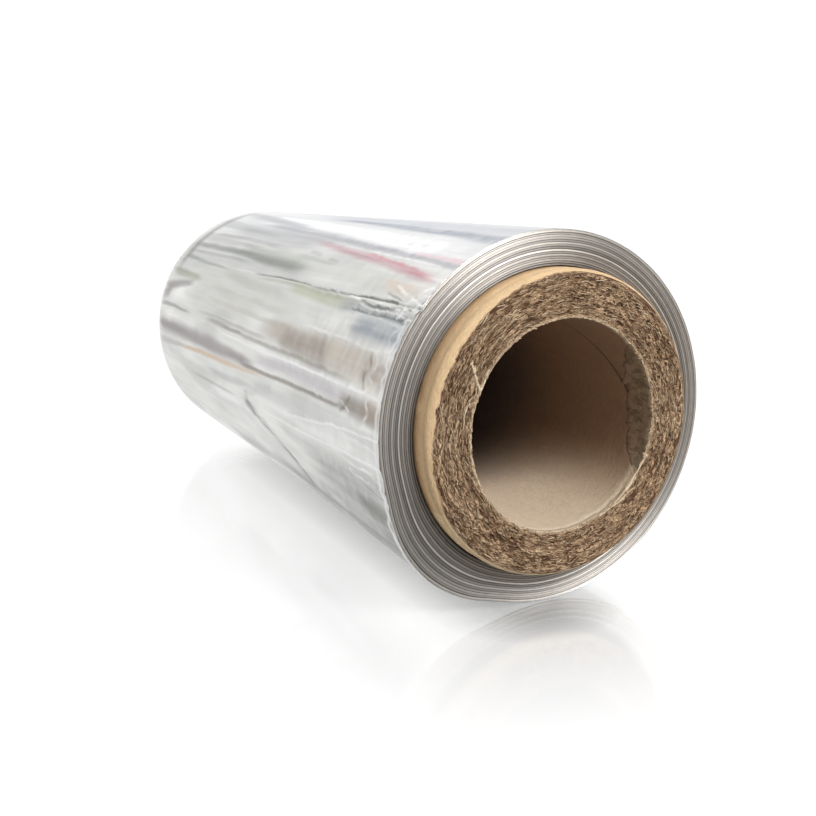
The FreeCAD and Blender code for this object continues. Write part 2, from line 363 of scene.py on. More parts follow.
def tornEdge(degrees):
    # Depth of the lower edge of the inner ply that is torn away, and how far inside its stretch.
    middle = (core["tornFrom"] + core["tornTo"]) / 2
    reach = np.clip(np.abs(degrees - middle) / (middle - core["tornFrom"]), 0, 1)
    spot = aroundAxis(roll["bore"], degrees, degrees * 0)
    ragged = 3.6 * layeredNoise(spot * 0.26, 83, 4)
    return core["tornDepth"] * (1 - reach ** 3) + ragged * (1 - reach ** 6) - 1.0 * (reach >= 1)


def sideColour(spot, angle, height, fromTop, wave):
    # Tan paper with dusty patches, painted shade towards the foil, and painted light on the side away
    # from the lamp.
    down = np.minimum(fromTop, height)
    colour = flatColour(core["tan"], len(angle))
    browner = smoothStep(*core["browner"], down + 0.8 * wave)
    colour = blendColours(colour, core["tanShade"], browner * 0.9)
    dusty = smoothStep(0.1, 0.6, layeredNoise(spot * [0.10, 0.10, 0.15], 75, 3))
    colour = blendColours(colour, core["dust"], dusty * 0.4)
    # Painted light on the side away from the lamp.
    litSide = smoothStep(-95, -140, (angle + 40) % 360 - 220)
    colour = blendColours(colour, core["paleTan"], litSide * 0.55)
    # The upright side is painted brighter than the shoulder, painted light against its shade.
    colour *= (1.06 + 0.34 * smoothStep(1.6, 3.4, down))[:, None]
    return colour * (1 + 0.08 * wave)[:, None]


def boreColour(depth, angle, fine, torn, ledge, ledgeDepth):
    # Paper painted lighter on the lamp's side and darker deeper in, painted light and shade; with the
    # torn ply, the pale rim, and the ledge of the inner ply with a painted shadow under it.
    signed = signedAngle(angle)
    lit = smoothStep(core["litFrom"] - 25, core["litFrom"] + 25, signed)
    lit = lit * smoothStep(core["litTo"] + 15, core["litTo"] - 35, signed)
    colour = blendColours(flatColour(core["shadePaper"], len(angle)), core["paper"], lit)
    colour = blendColours(colour, core["deepPaper"], smoothStep(*core["darkens"], depth))
    colour *= (1 + 0.08 * fine)[:, None]
    colour = blendColours(colour, core["torn"], torn * (0.75 + 0.25 * fine))
    flakes = (angle - core["flakeAngle"]) / core["flakeSpread"]
    flakes = core["flakeDepth"] * np.exp(-flakes ** 2)
    rimLine = depth + (0.8 + 0.7 * flakes) * fine
    rimLine = smoothStep(2.6 + flakes, 0.3 + 0.5 * flakes, rimLine)
    colour = blendColours(colour, core["cream"], rimLine * 0.7)
    # Painted shadow under the ledge of the inner ply.
    below = smoothStep(0.9, 0.2, np.abs(depth - ledgeDepth + 1.0))
    colour = blendColours(colour, core["shadePaper"], ledge * below * 0.6)
    edge = smoothStep(0.7, 0.1, np.abs(depth - ledgeDepth))
    return blendColours(colour, core["ledgeEdge"], ledge * edge * 0.8)


def makeCoreMesh():
    columns = core["columns"]
    rows = coreProfile()
    radius = np.repeat([row[0] for row in rows], columns).astype(float)
    height = np.repeat([row[1] for row in rows], columns).astype(float)
    part = np.repeat([row[2] for row in rows], columns)
    angle = np.tile(np.arange(columns) * 360 / columns, len(rows))
    colour = flatColour(core["paper"], len(radius))
    rough = np.full(len(radius), core["endRoughness"])
    spot = aroundAxis(radius, angle, height)
    around = aroundMean(radius, angle)
    upper, lower, outside, bore = (part == name for name in ("upper", "lower", "outside", "bore"))
    corner = roll["core"] - core["shoulder"]

    rise, shade = sawnEnd(radius[upper], angle[upper], 11, True)
    height[upper] += rise * smoothStep(0.0, 0.8, corner - radius[upper] + 0.4)
    colour[upper] = shade
    rise, shade = sawnEnd(radius[lower], angle[lower], 47)
    height[lower] -= np.minimum(rise, 0)
    colour[lower] = shade

    # The side, which is sawn as far as the shoulder where the end is worn.
    wave = layeredNoise(spot * 0.22, 71, 3)
    fromTop = roll["coreTop"] - height
    side = sideColour(spot, angle, height, fromTop, wave)
    facing = 0.5 + 0.5 * np.cos(np.radians(angle - core["wornAngle"]))
    fromEdge = roll["core"] - radius + 0.7 * layeredNoise(around * [0.35, 0.35, 0.5], 73, 3)
    least = core["leastSawn"]
    sawnTo = least + (core["shoulder"] + core["wornWidth"] - least) * facing ** 3
    onEdge = fromEdge + 2.5 * (fromTop < 0.5) * (1 - facing)
    isSide = smoothStep(sawnTo + 0.35, sawnTo - 0.35, onEdge)
    nearTop = upper | (outside & (fromTop < core["shoulder"] + 0.01))
    colour[outside] = side[outside]
    endShade = sawnEnd(radius[nearTop], angle[nearTop], 11, True)[1]
    scuffed = facing ** 6 * smoothStep(1.0, 0.2, np.abs(fromEdge - sawnTo - 0.5))
    patches = layeredNoise(around * [0.12, 0.12, 0.2], 79, 2)
    scuffed = scuffed * smoothStep(-0.2, 0.3, patches)
    endShade = blendColours(endShade, core["scuffed"], scuffed[nearTop] * 0.6)
    colour[nearTop] = endShade + (side[nearTop] - endShade) * isSide[nearTop][:, None]
    rough[outside] = core["sideRoughness"]
    radius[outside] += core["sideWave"] * wave[outside]
    worn = smoothStep(corner - core["wornWidth"], roll["core"] - 1.2, radius)
    worn = core["wornDrop"] * facing ** 2 * worn
    height -= worn * (upper | (outside & (fromTop < 4.0))) * smoothStep(4.0, 1.5, fromTop)

    # The bore: paper with a wound seam, and its inner ply torn away along one stretch.
    depth = fromTop[bore]
    bend = angle[bore]
    fine = layeredNoise(spot[bore] * [0.5, 0.5, 0.35], 91, 3)
    tornGap = tornEdge(bend) - depth
    torn = smoothStep(0.0, 0.8, tornGap)
    step = core["tornStep"] * torn + (0.10 * torn + 0.03) * fine
    radius[bore] += step + raggedRim(around[bore]) * np.exp(-depth / 1.2)
    signed = signedAngle(bend)
    ledge = smoothStep(*core["ledgeFrom"], signed) * smoothStep(*core["ledgeTo"], signed)
    ledgeDepth = core["ledgeDepth"] + 0.7 * fringeNoise(around[bore] * 0.4)
    above = smoothStep(ledgeDepth + 0.4, ledgeDepth - 0.2, depth)
    radius[bore] += core["ledgeStep"] * ledge * above
    colour[bore] = boreColour(depth, bend, fine, torn, ledge, ledgeDepth)
    nearRim = upper & (radius < roll["bore"] + 1.5)
    ragged = raggedRim(around) * np.exp(-(radius - roll["bore"]) / 0.8)
    radius[nearRim] += ragged[nearRim]

    piece = ringMesh("sawn_core", aroundAxis(radius, angle, height), columns, flip=True)
    storeColour(piece, "shade", colour)
    storeNumber(piece, "roughness", rough)
    # The third number of the grain runs along the profile without a jump.
    along = np.where(bore, radius - fromTop, radius + fromTop)
    along = np.where(lower, 2 * roll["core"] + roll["coreTop"] - radius, along)
    storeVector(piece, "grain", np.stack([around[:, 0], around[:, 1], along], 1))
    rimFade = smoothStep(0.2, 1.5, radius - roll["bore"] + 0.5 * fringeNoise(around))
    sawn = (upper | lower | nearTop) * (1 - isSide * nearTop) * rimFade
    sawn = sawn * (1 - 0.9 * splinterAmount(radius, angle) * upper)
    storeNumber(piece, "sawn", sawn.astype(float))
    turnRise = core["seamSlope"] * 360
    seamPhase = fromTop - core["seamDepth"] - core["seamSlope"] * (angle - core["seamAngle"])
    seamPhase = 2 * math.pi * (seamPhase / turnRise)
    storeNumber(piece, "seamSide", np.sin(seamPhase) * turnRise / (2 * math.pi))
    storeNumber(piece, "seamNear", np.where(bore, np.cos(seamPhase), -1.0))
    gap = np.full(len(radius), -9.0)     # far outside the torn stretch
    gap[bore] = tornGap
    storeNumber(piece, "tornGap", gap)
    return piece


class NodeMaker:
    # Adds nodes to a tree and joins them in one call.
    def __init__(self, tree):
        self.nodes, self.links = tree.nodes, tree.links

    def plug(self, socket, value):
        if isinstance(value, bpy.types.NodeSocket):
            self.links.new(value, socket)
        elif value is not None:
            socket.default_value = value

    def add(self, kind, output=0, settings=None, **inputs):
        node = self.nodes.new(kind)
        for key, value in (settings or {}).items():
            setattr(node, key, value)
        for label, value in inputs.items():
            self.plug(node.inputs[label.replace("_", " ")], value)
        return node.outputs[output]

    def maths(self, operation, first, second=None):
        node = self.nodes.new("ShaderNodeMath")
        node.operation = operation
        self.plug(node.inputs[0], first)
        self.plug(node.inputs[1], second)
        return node.outputs[0]

    def plus(self, first, second):
        return self.maths("ADD", first, second)

    def minus(self, first, second):
        return self.maths("SUBTRACT", first, second)

    def times(self, first, second):
        return self.maths("MULTIPLY", first, second)

    def parts(self, vector):
        node = self.nodes.new("ShaderNodeSeparateXYZ")
        self.links.new(vector, node.inputs[0])
        return node.outputs


class ShaderGraph(NodeMaker):
    # The nodes of a material or of the world.
    def __init__(self, owner, output="ShaderNodeOutputMaterial"):
        owner.use_nodes = True
        super().__init__(owner.node_tree)
        self.owner = owner
        self.nodes.clear()
        self.output = self.nodes.new(output)

    def attribute(self, name, output="Fac"):
        return self.add("ShaderNodeAttribute", output, {"attribute_name": name})

    def noise(self, place, stretch, detail=2.0, warp=0.0, offset=(0, 0, 0), roughness=0.5):
        moved = self.add("ShaderNodeMapping", Vector=place, Scale=stretch, Location=offset)
        return self.add("ShaderNodeTexNoise", 0, Vector=moved, Scale=1.0, Detail=detail,
                        Distortion=warp, Roughness=roughness)

    def pushed(self, place, stretch, push, offset=(0, 0, 0)):
        # A place that is stretched and then moved about by noise.
        moved = self.add("ShaderNodeMapping", Vector=place, Scale=stretch, Location=offset)
        wander = self.add("ShaderNodeTexNoise", "Color", Vector=moved, Scale=0.8, Detail=2.0)
        node = self.nodes.new("ShaderNodeVectorMath")
        node.operation = "MULTIPLY_ADD"
        for socket, value in zip(node.inputs, (wander, (push, push, push), moved)):
            self.plug(socket, value)
        return node.outputs[0]

    def ranged(self, value, low, high, toLow=0.0, toHigh=1.0, smooth=False):
        node = self.nodes.new("ShaderNodeMapRange")
        node.interpolation_type = "SMOOTHSTEP" if smooth else "LINEAR"
        for socket, item in zip(node.inputs, (value, low, high, toLow, toHigh)):
            self.plug(socket, item)
        return node.outputs[0]

    def line(self, value, width):
        # Is 1 where the value crosses one half, and falls to 0 within the width on each side.
        away = self.maths("ABSOLUTE", self.minus(value, 0.5))
        return self.ranged(away, 0.0, width, 1.0, 0.0)

    def mixed(self, amount, first, second, blend="MIX"):
        settings = {"data_type": "RGBA", "blend_type": blend}
        return self.add("ShaderNodeMix", "Result", settings, Factor=amount, A=first, B=second)

    def stained(self, colour, amount, strength, tone):
        # A colour with another one over it, where the amount says.
        return self.mixed(self.times(amount, strength), colour, colourOf(tone))

    def ramp(self, amount, stops):
        node = self.nodes.new("ShaderNodeValToRGB")
        elements = node.color_ramp.elements
        elements[0].position, elements[1].position = stops[0][0], stops[-1][0]
        for position, _ in stops[1:-1]:
            elements.new(position)
        for element, (_, tone) in zip(elements, stops):
            element.color = tone
        self.plug(node.inputs["Fac"], amount)
        return node.outputs["Color"]

    def blended(self, amount, first, second):
        node = self.nodes.new("ShaderNodeMixShader")
        for socket, item in zip(node.inputs, (amount, first, second)):
            self.plug(socket, item)
        return node.outputs[0]

    def finish(self, shader):
        self.links.new(shader, self.output.inputs["Surface"])
        return self.owner


def colourOf(values):
    return (*linear(*values), 1.0)


def grey(level):
    return (level, level, level, 1.0)


# Noise in the cardboard along its grain: stretch, detail, warp, shift and roughness.
grains = {"plyLines": ((0.12, 0.12, 0.50), 3.0, 1.0),
          "finer": ((0.27, 0.27, 0.95), 2.0, 1.4, (5, 9, 3)),
          "strands": ((0.30, 0.30, 0.80), 1.0, 1.8, (31, 2, 8)),
          "patch": ((0.08, 0.08, 0.16), 2.0, 0.0, (3, 40, 6)),
          "specks": ((1.0, 1.0, 1.8), 1.0, 0.6, (14, 6, 9)),
          "dashes": ((0.18, 0.18, 0.84), 1.0, 1.3, (7, 3, 22)),
          "smaller": ((0.46, 0.46, 1.8), 0.0, 1.0, (1, 19, 4)),
          "longLines": ((0.045, 0.045, 0.42), 3.0, 0.5, (8, 1, 17)),
          "hairs": ((0.42, 0.42, 1.7), 1.0, 1.5, (17, 8, 2)),
          "mottle": ((0.30, 0.30, 0.20), 4.0, 0.8, (2, 7, 1), 0.65),
          "flecks": ((1.1, 1.1, 0.8), 3.0, 1.0, (12, 3, 1))}

# Marks that the cardboard's material draws over its shade; the gap colour is painted shade in cracks,
# and the torn edge colour a painted shadow.
marks = {"gap": (70, 42, 26), "hair": (228, 202, 168), "stain": (102, 88, 68),
         "fleck": (196, 176, 146), "tornEdge": (60, 44, 32), "seam": (38, 24, 18),
         "bump": 0.85, "bumpDepth": 0.00045, "gloss": 0.22}


def makeCardboardMaterial():
    graph = ShaderGraph(bpy.data.materials.new("wound cardboard"))
    flow = graph.attribute("grain", "Vector")
    sawn = graph.attribute("sawn")

    # Strands of the sawn plies: dark gaps and cracks between them, painted shade, and pale hairs on
    # them.
    tuft = graph.pushed(flow, (0.15, 0.15, 0.84), 1.3)
    gap = graph.add("ShaderNodeTexVoronoi", "Distance", {"feature": "DISTANCE_TO_EDGE"},
                    Vector=tuft, Scale=1.0)
    tone = graph.add("ShaderNodeTexVoronoi", "Color", Vector=tuft, Scale=1.0)
    noises = {name: graph.noise(flow, *values) for name, values in grains.items()}
    finer, specks = noises["finer"], noises["specks"]
    mottle, flecks = noises["mottle"], noises["flecks"]
    dashes = graph.ranged(noises["dashes"], 0.44, 0.38)
    smaller = graph.ranged(noises["smaller"], 0.38, 0.30)
    longLines = graph.times(graph.line(noises["longLines"], 0.030),
                            graph.ranged(noises["patch"], 0.60, 0.42))
    gaps = graph.times(graph.ranged(gap, 0.04, 0.14, 0.6, 0.0), graph.ranged(finer, 0.38, 0.55))
    cracks = graph.times(graph.line(noises["plyLines"], 0.040), 0.8)
    for kind in (dashes, smaller, gaps, longLines):
        cracks = graph.maths("MAXIMUM", cracks, kind)
    dark = graph.maths("MAXIMUM", cracks, graph.ranged(specks, 0.36, 0.26))
    pale = graph.maths("MAXIMUM", graph.line(noises["strands"], 0.045),
                       graph.ranged(noises["hairs"], 0.60, 0.68))
    pale = graph.times(pale, graph.minus(1.0, cracks))
    dark = graph.times(dark, sawn)
    pale = graph.times(pale, sawn)
    light = graph.add("ShaderNodeSeparateColor", "Red", Color=tone)
    body = graph.times(graph.ranged(specks, 0.33, 0.68, 0.84, 1.18),
                       graph.ranged(light, 0.0, 1.0, 0.80, 1.28))
    grain = graph.times(graph.ranged(specks, 0.33, 0.68, 0.93, 1.06),
                        graph.ranged(finer, 0.35, 0.65, 0.96, 1.04))
    body = graph.mixed(sawn, grain, body)
    colour = graph.mixed(1.0, graph.attribute("shade", "Color"), body, "MULTIPLY")
    # Cracks, gaps and pits darkened with painted shade.
    colour = graph.stained(colour, dark, 0.92, marks["gap"])
    colour = graph.stained(colour, pale, 0.75, marks["hair"])

    # The wound seam is a thin dark line, and the torn ply has pale flecks and a painted shadow along
    # its edge.
    tornGap = graph.attribute("tornGap")
    seam = graph.maths("ABSOLUTE", graph.attribute("seamSide"))
    seam = graph.ranged(seam, 0.20, 0.42, 1.0, 0.0)
    seam = graph.times(seam, graph.maths("GREATER_THAN", graph.attribute("seamNear"), 0.0))
    seam = graph.times(seam, graph.ranged(tornGap, 0.6, -0.2))
    insideTorn = graph.ranged(tornGap, -0.2, 0.5)
    tornShadowLine = graph.maths("ABSOLUTE", graph.minus(tornGap, 0.1))
    tornShadowLine = graph.ranged(tornShadowLine, 0.0, 0.8, 1.0, 0.0)
    stain = graph.times(insideTorn, graph.ranged(mottle, 0.44, 0.58))
    fleck = graph.times(insideTorn, graph.ranged(flecks, 0.60, 0.68))
    tornEdgeShadow = graph.times(tornShadowLine, graph.ranged(flecks, 0.35, 0.60))
    colour = graph.stained(colour, stain, 0.66, marks["stain"])
    colour = graph.stained(colour, fleck, 0.6, marks["fleck"])
    # Painted shadow along the edge of the torn ply.
    colour = graph.stained(colour, tornEdgeShadow, 0.65, marks["tornEdge"])
    colour = graph.stained(colour, seam, 0.85, marks["seam"])

    raised = graph.times(graph.times(light, sawn), 0.6)
    relief = graph.plus(graph.times(finer, 0.8), graph.plus(pale, raised))
    relief = graph.minus(relief, graph.times(dark, 1.3))
    relief = graph.plus(relief, graph.times(insideTorn, mottle))
    relief = graph.minus(relief, seam)
    relief = graph.plus(relief, graph.times(mottle, 0.25))
    bump = graph.add("ShaderNodeBump", Strength=marks["bump"], Distance=marks["bumpDepth"],
                     Height=relief)
    shader = graph.add("ShaderNodeBsdfPrincipled", Base_Color=colour, Normal=bump,
                       Roughness=graph.attribute("roughness"),
                       Specular_IOR_Level=marks["gloss"])
    return graph.finish(shader)


coreMesh = makeCoreMesh()
coreMesh.data.materials.append(makeCardboardMaterial())
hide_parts("cardboard_core")
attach(coreMesh, "root")
print("core made:", len(coreMesh.data.polygons), "faces")


class PieceTree(NodeMaker):
    # A geometry node tree with named inputs, which ends in real geometry with its material.
    def __init__(self, name, inputs):
        self.tree = bpy.data.node_groups.new(name, "GeometryNodeTree")
        super().__init__(self.tree)
        sockets = self.tree.interface
        sockets.new_socket("Geometry", in_out="INPUT", socket_type="NodeSocketGeometry")
        for label, value in inputs.items():
            kind = "NodeSocketInt" if isinstance(value, int) else "NodeSocketFloat"
            sockets.new_socket(label, in_out="INPUT", socket_type=kind).default_value = value
        sockets.new_socket("Geometry", in_out="OUTPUT", socket_type="NodeSocketGeometry")
        self.given = self.nodes.new("NodeGroupInput").outputs
        self.result = self.nodes.new("NodeGroupOutput").inputs

    def store(self, geometry, name, kind, domain, value):
        settings = {"data_type": kind, "domain": domain}
        return self.add("GeometryNodeStoreNamedAttribute", 0, settings, Geometry=geometry,
                        Name=name, Value=value)

    def finish(self, geometry, material):
        real = self.add("GeometryNodeRealizeInstances", Geometry=geometry)
        dressed = self.add("GeometryNodeSetMaterial", Geometry=real, Material=material)
        self.links.new(dressed, self.result["Geometry"])
        return self.tree


# Loose fibres that stand up from the sawn end: how many, how long in millimetres, how far they
# turn and tip in radians, and the bend of one fibre of length 1.
fibres = {"endDensity": 300000.0, "rimDensity": 2400000.0, "length": 2.6, "rimLength": 1.6,
          "thickness": 0.19, "endSpread": 0.7, "rimSpread": 1.0, "rimPalest": 0.72,
          "twist": 0.9, "tip": 0.14, "shortest": 0.35, "longest": 1.25, "columns": 96,
          "start": (-0.5, 0.03, -0.04), "middle": (0.05, -0.10, 0.16), "end": (0.5, 0.08, 0.02),
          "tones": ((96, 70, 48), (164, 134, 104), (216, 194, 164)),
          "roughness": 0.9, "gloss": 0.15}


def makeFibreMaterial():
    graph = ShaderGraph(bpy.data.materials.new("cardboard fibres"))
    darker, middle, litSide = (colourOf(tone) for tone in fibres["tones"])
    tone = graph.ramp(graph.attribute("tone"), ((0.0, darker), (0.5, middle), (1.0, litSide)))
    place = graph.add("ShaderNodeTexCoord", "Object")
    mottle = graph.ranged(graph.noise(place, (1500, 1500, 1500), 2.0), 0.3, 0.7, 0.8, 1.15)
    colour = graph.mixed(1.0, tone, mottle, "MULTIPLY")
    shader = graph.add("ShaderNodeBsdfPrincipled", Base_Color=colour,
                       Roughness=fibres["roughness"], Specular_IOR_Level=fibres["gloss"])
    return graph.finish(shader)


def makeFibreTree(material):
    # Scatters short bent fibres over a surface, most of them lying round the roll's axis.
    maker = PieceTree("sawn fibres", {
        "Density": fibres["endDensity"], "Length": fibres["length"] * mm,
        "Thickness": fibres["thickness"] * mm, "Spread": fibres["endSpread"], "Palest": 0.0,
        "Seed": 3})
    given, maths = maker.given, maker.maths
    plus, times = maker.plus, maker.times

    def randomNumber(low, high, seedStep):
        node = maker.nodes.new("FunctionNodeRandomValue")
        node.data_type = "FLOAT"
        node.inputs[2].default_value, node.inputs[3].default_value = low, high
        maker.plug(node.inputs["Seed"], plus(given["Seed"], seedStep))
        return node.outputs[1]

    points = maker.add("GeometryNodeDistributePointsOnFaces", "Points", Mesh=given["Geometry"],
                       Density=given["Density"], Seed=given["Seed"])
    bent = maker.add("GeometryNodeCurveQuadraticBezier", Resolution=4, Start=fibres["start"],
                     Middle=fibres["middle"], End=fibres["end"])
    rim = maker.add("GeometryNodeCurvePrimitiveCircle", "Curve", Resolution=3,
                    Radius=maths("DIVIDE", given["Thickness"], given["Length"]))
    tube = maker.add("GeometryNodeCurveToMesh", Curve=bent, Profile_Curve=rim, Fill_Caps=True)
    place = maker.parts(maker.add("GeometryNodeInputPosition"))
    bearing = plus(maths("ARCTAN2", place["Y"], place["X"]), math.pi / 2)
    wander = times(randomNumber(-1.0, 1.0, 1), randomNumber(0.0, 1.0, 2))
    bearing = plus(bearing, times(wander, given["Spread"]))
    turned = maker.add("ShaderNodeCombineXYZ", Z=bearing,
                       X=randomNumber(-fibres["twist"], fibres["twist"], 3),
                       Y=randomNumber(-fibres["tip"], fibres["tip"], 4))
    size = randomNumber(fibres["shortest"], fibres["longest"], 5)
    copies = maker.add("GeometryNodeInstanceOnPoints", Points=points, Instance=tube,
                       Rotation=turned, Scale=times(given["Length"], size))
    tone = maths("MAXIMUM", randomNumber(0.0, 1.0, 6), given["Palest"])
    return maker.finish(maker.store(copies, "tone", "FLOAT", "INSTANCE", tone), material)


def runTree(piece, tree, values):
    # Runs a node tree on a piece, keeps the result as its plain mesh and takes the modifier off.
    modifier = piece.modifiers.new("nodes", "NODES")
    modifier.node_group = tree
    for item in tree.interface.items_tree:
        if item.item_type == "SOCKET" and item.in_out == "INPUT" and item.name in values:
            modifier[item.identifier] = values[item.name]
    evaluated = piece.evaluated_get(bpy.context.evaluated_depsgraph_get())
    result = bpy.data.meshes.new_from_object(evaluated)
    piece.modifiers.remove(modifier)
    before = piece.data
    piece.data = result
    bpy.data.meshes.remove(before)


def makeFibres(name, inner, outer, height, values):
    columns = fibres["columns"]
    degrees = np.tile(np.arange(columns) * 360 / columns, 2)
    radius = np.repeat([inner, outer], columns)
    places = aroundAxis(radius, degrees, np.full(len(degrees), height))
    piece = ringMesh(name, places, columns, closed=False, flip=True)
    runTree(piece, fibreTree, {"Thickness": fibres["thickness"] * mm, **values})
    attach(piece, "root")
    print(name, "made:", len(piece.data.polygons), "faces")


fibreTree = makeFibreTree(makeFibreMaterial())
makeFibres("end_fibres", roll["bore"] + 0.9, roll["core"] - 2.2, roll["coreTop"] + 0.02,
           {"Density": fibres["endDensity"], "Length": fibres["length"] * mm,
            "Spread": fibres["endSpread"], "Seed": 3})
makeFibres("rim_fibres", roll["bore"] + 0.05, roll["bore"] + 1.1, roll["coreTop"] + 0.10,
           {"Density": fibres["rimDensity"], "Length": fibres["rimLength"] * mm,
            "Spread": fibres["rimSpread"], "Palest": fibres["rimPalest"], "Seed": 8})


# Outer foil: its grid and finish. Angles are in degrees, heights from the lower foil edge in
# millimetres, and the grid is finer on the side with the folds.
skin = {"frontColumns": 440, "backColumns": 70, "front": (-165.0, -15.0), "rows": 168,
        "rowSpacing": 1.25, "innerRows": 12, "thickness": 0.9, "edgeThickness": 0.12,
        "waveDepth": 0.07, "fineWaveDepth": 0.025, "wrinkleShare": 0.65, "crumpleDepth": 1.2,
        "dentDepth": 0.4, "tailAt": -107.0, "base": (238, 238, 235), "edge": (238, 238, 236),
        "brightLine": (250, 250, 248), "smudge": (150, 150, 146), "farRim": (240, 240, 238),
        "roughness": 0.36, "alongRoll": 0.86, "fineLines": (600, 600, 20),
        "lineDepth": 0.00006, "crumple": (150, 150, 380),
        "seenSide": (-172, -150, -25, -5), "wrinkledSide": (-103, -96, -80, -72),
        "smudgedSide": (-150, -140, -108, -98), "tornSide": (-66, -54, -30, -16),
        "foldedSide": (-160, -120, -50, -20)}

# Noise on the skin: how fine it is in each direction, its seed and its layers.
skinNoises = {"warp": ((0.06, 0.06, 0.022), 201, 3), "wave": ((0.15, 0.15, 0.010), 205, 3),
              "fineWave": ((0.5, 0.5, 0.04), 209, 2), "crumple": ((0.36, 0.36, 0.36), 227, 2),
              "dent": ((0.22, 0.22, 0.22), 231, 2), "broad": ((0.055, 0.055, 0.006), 241, 2),
              "jagged": ((0.22, 0.22, 0.30), 243, 3), "lines": ((0.25, 0.25, 0.010), 245, 3),
              "finer": ((0.8, 0.8, 0.03), 249, 2), "ragged": ((0.30, 0.30, 0.0), 251, 2),
              "ripple": ((0.13, 0.13, 0.40), 253, 2), "blotch": ((0.11, 0.11, 0.028), 257, 3),
              "edge": ((0.35, 0.35, 0.0), 263, 1), "cloud": ((0.05, 0.05, 0.022), 271, 3)}
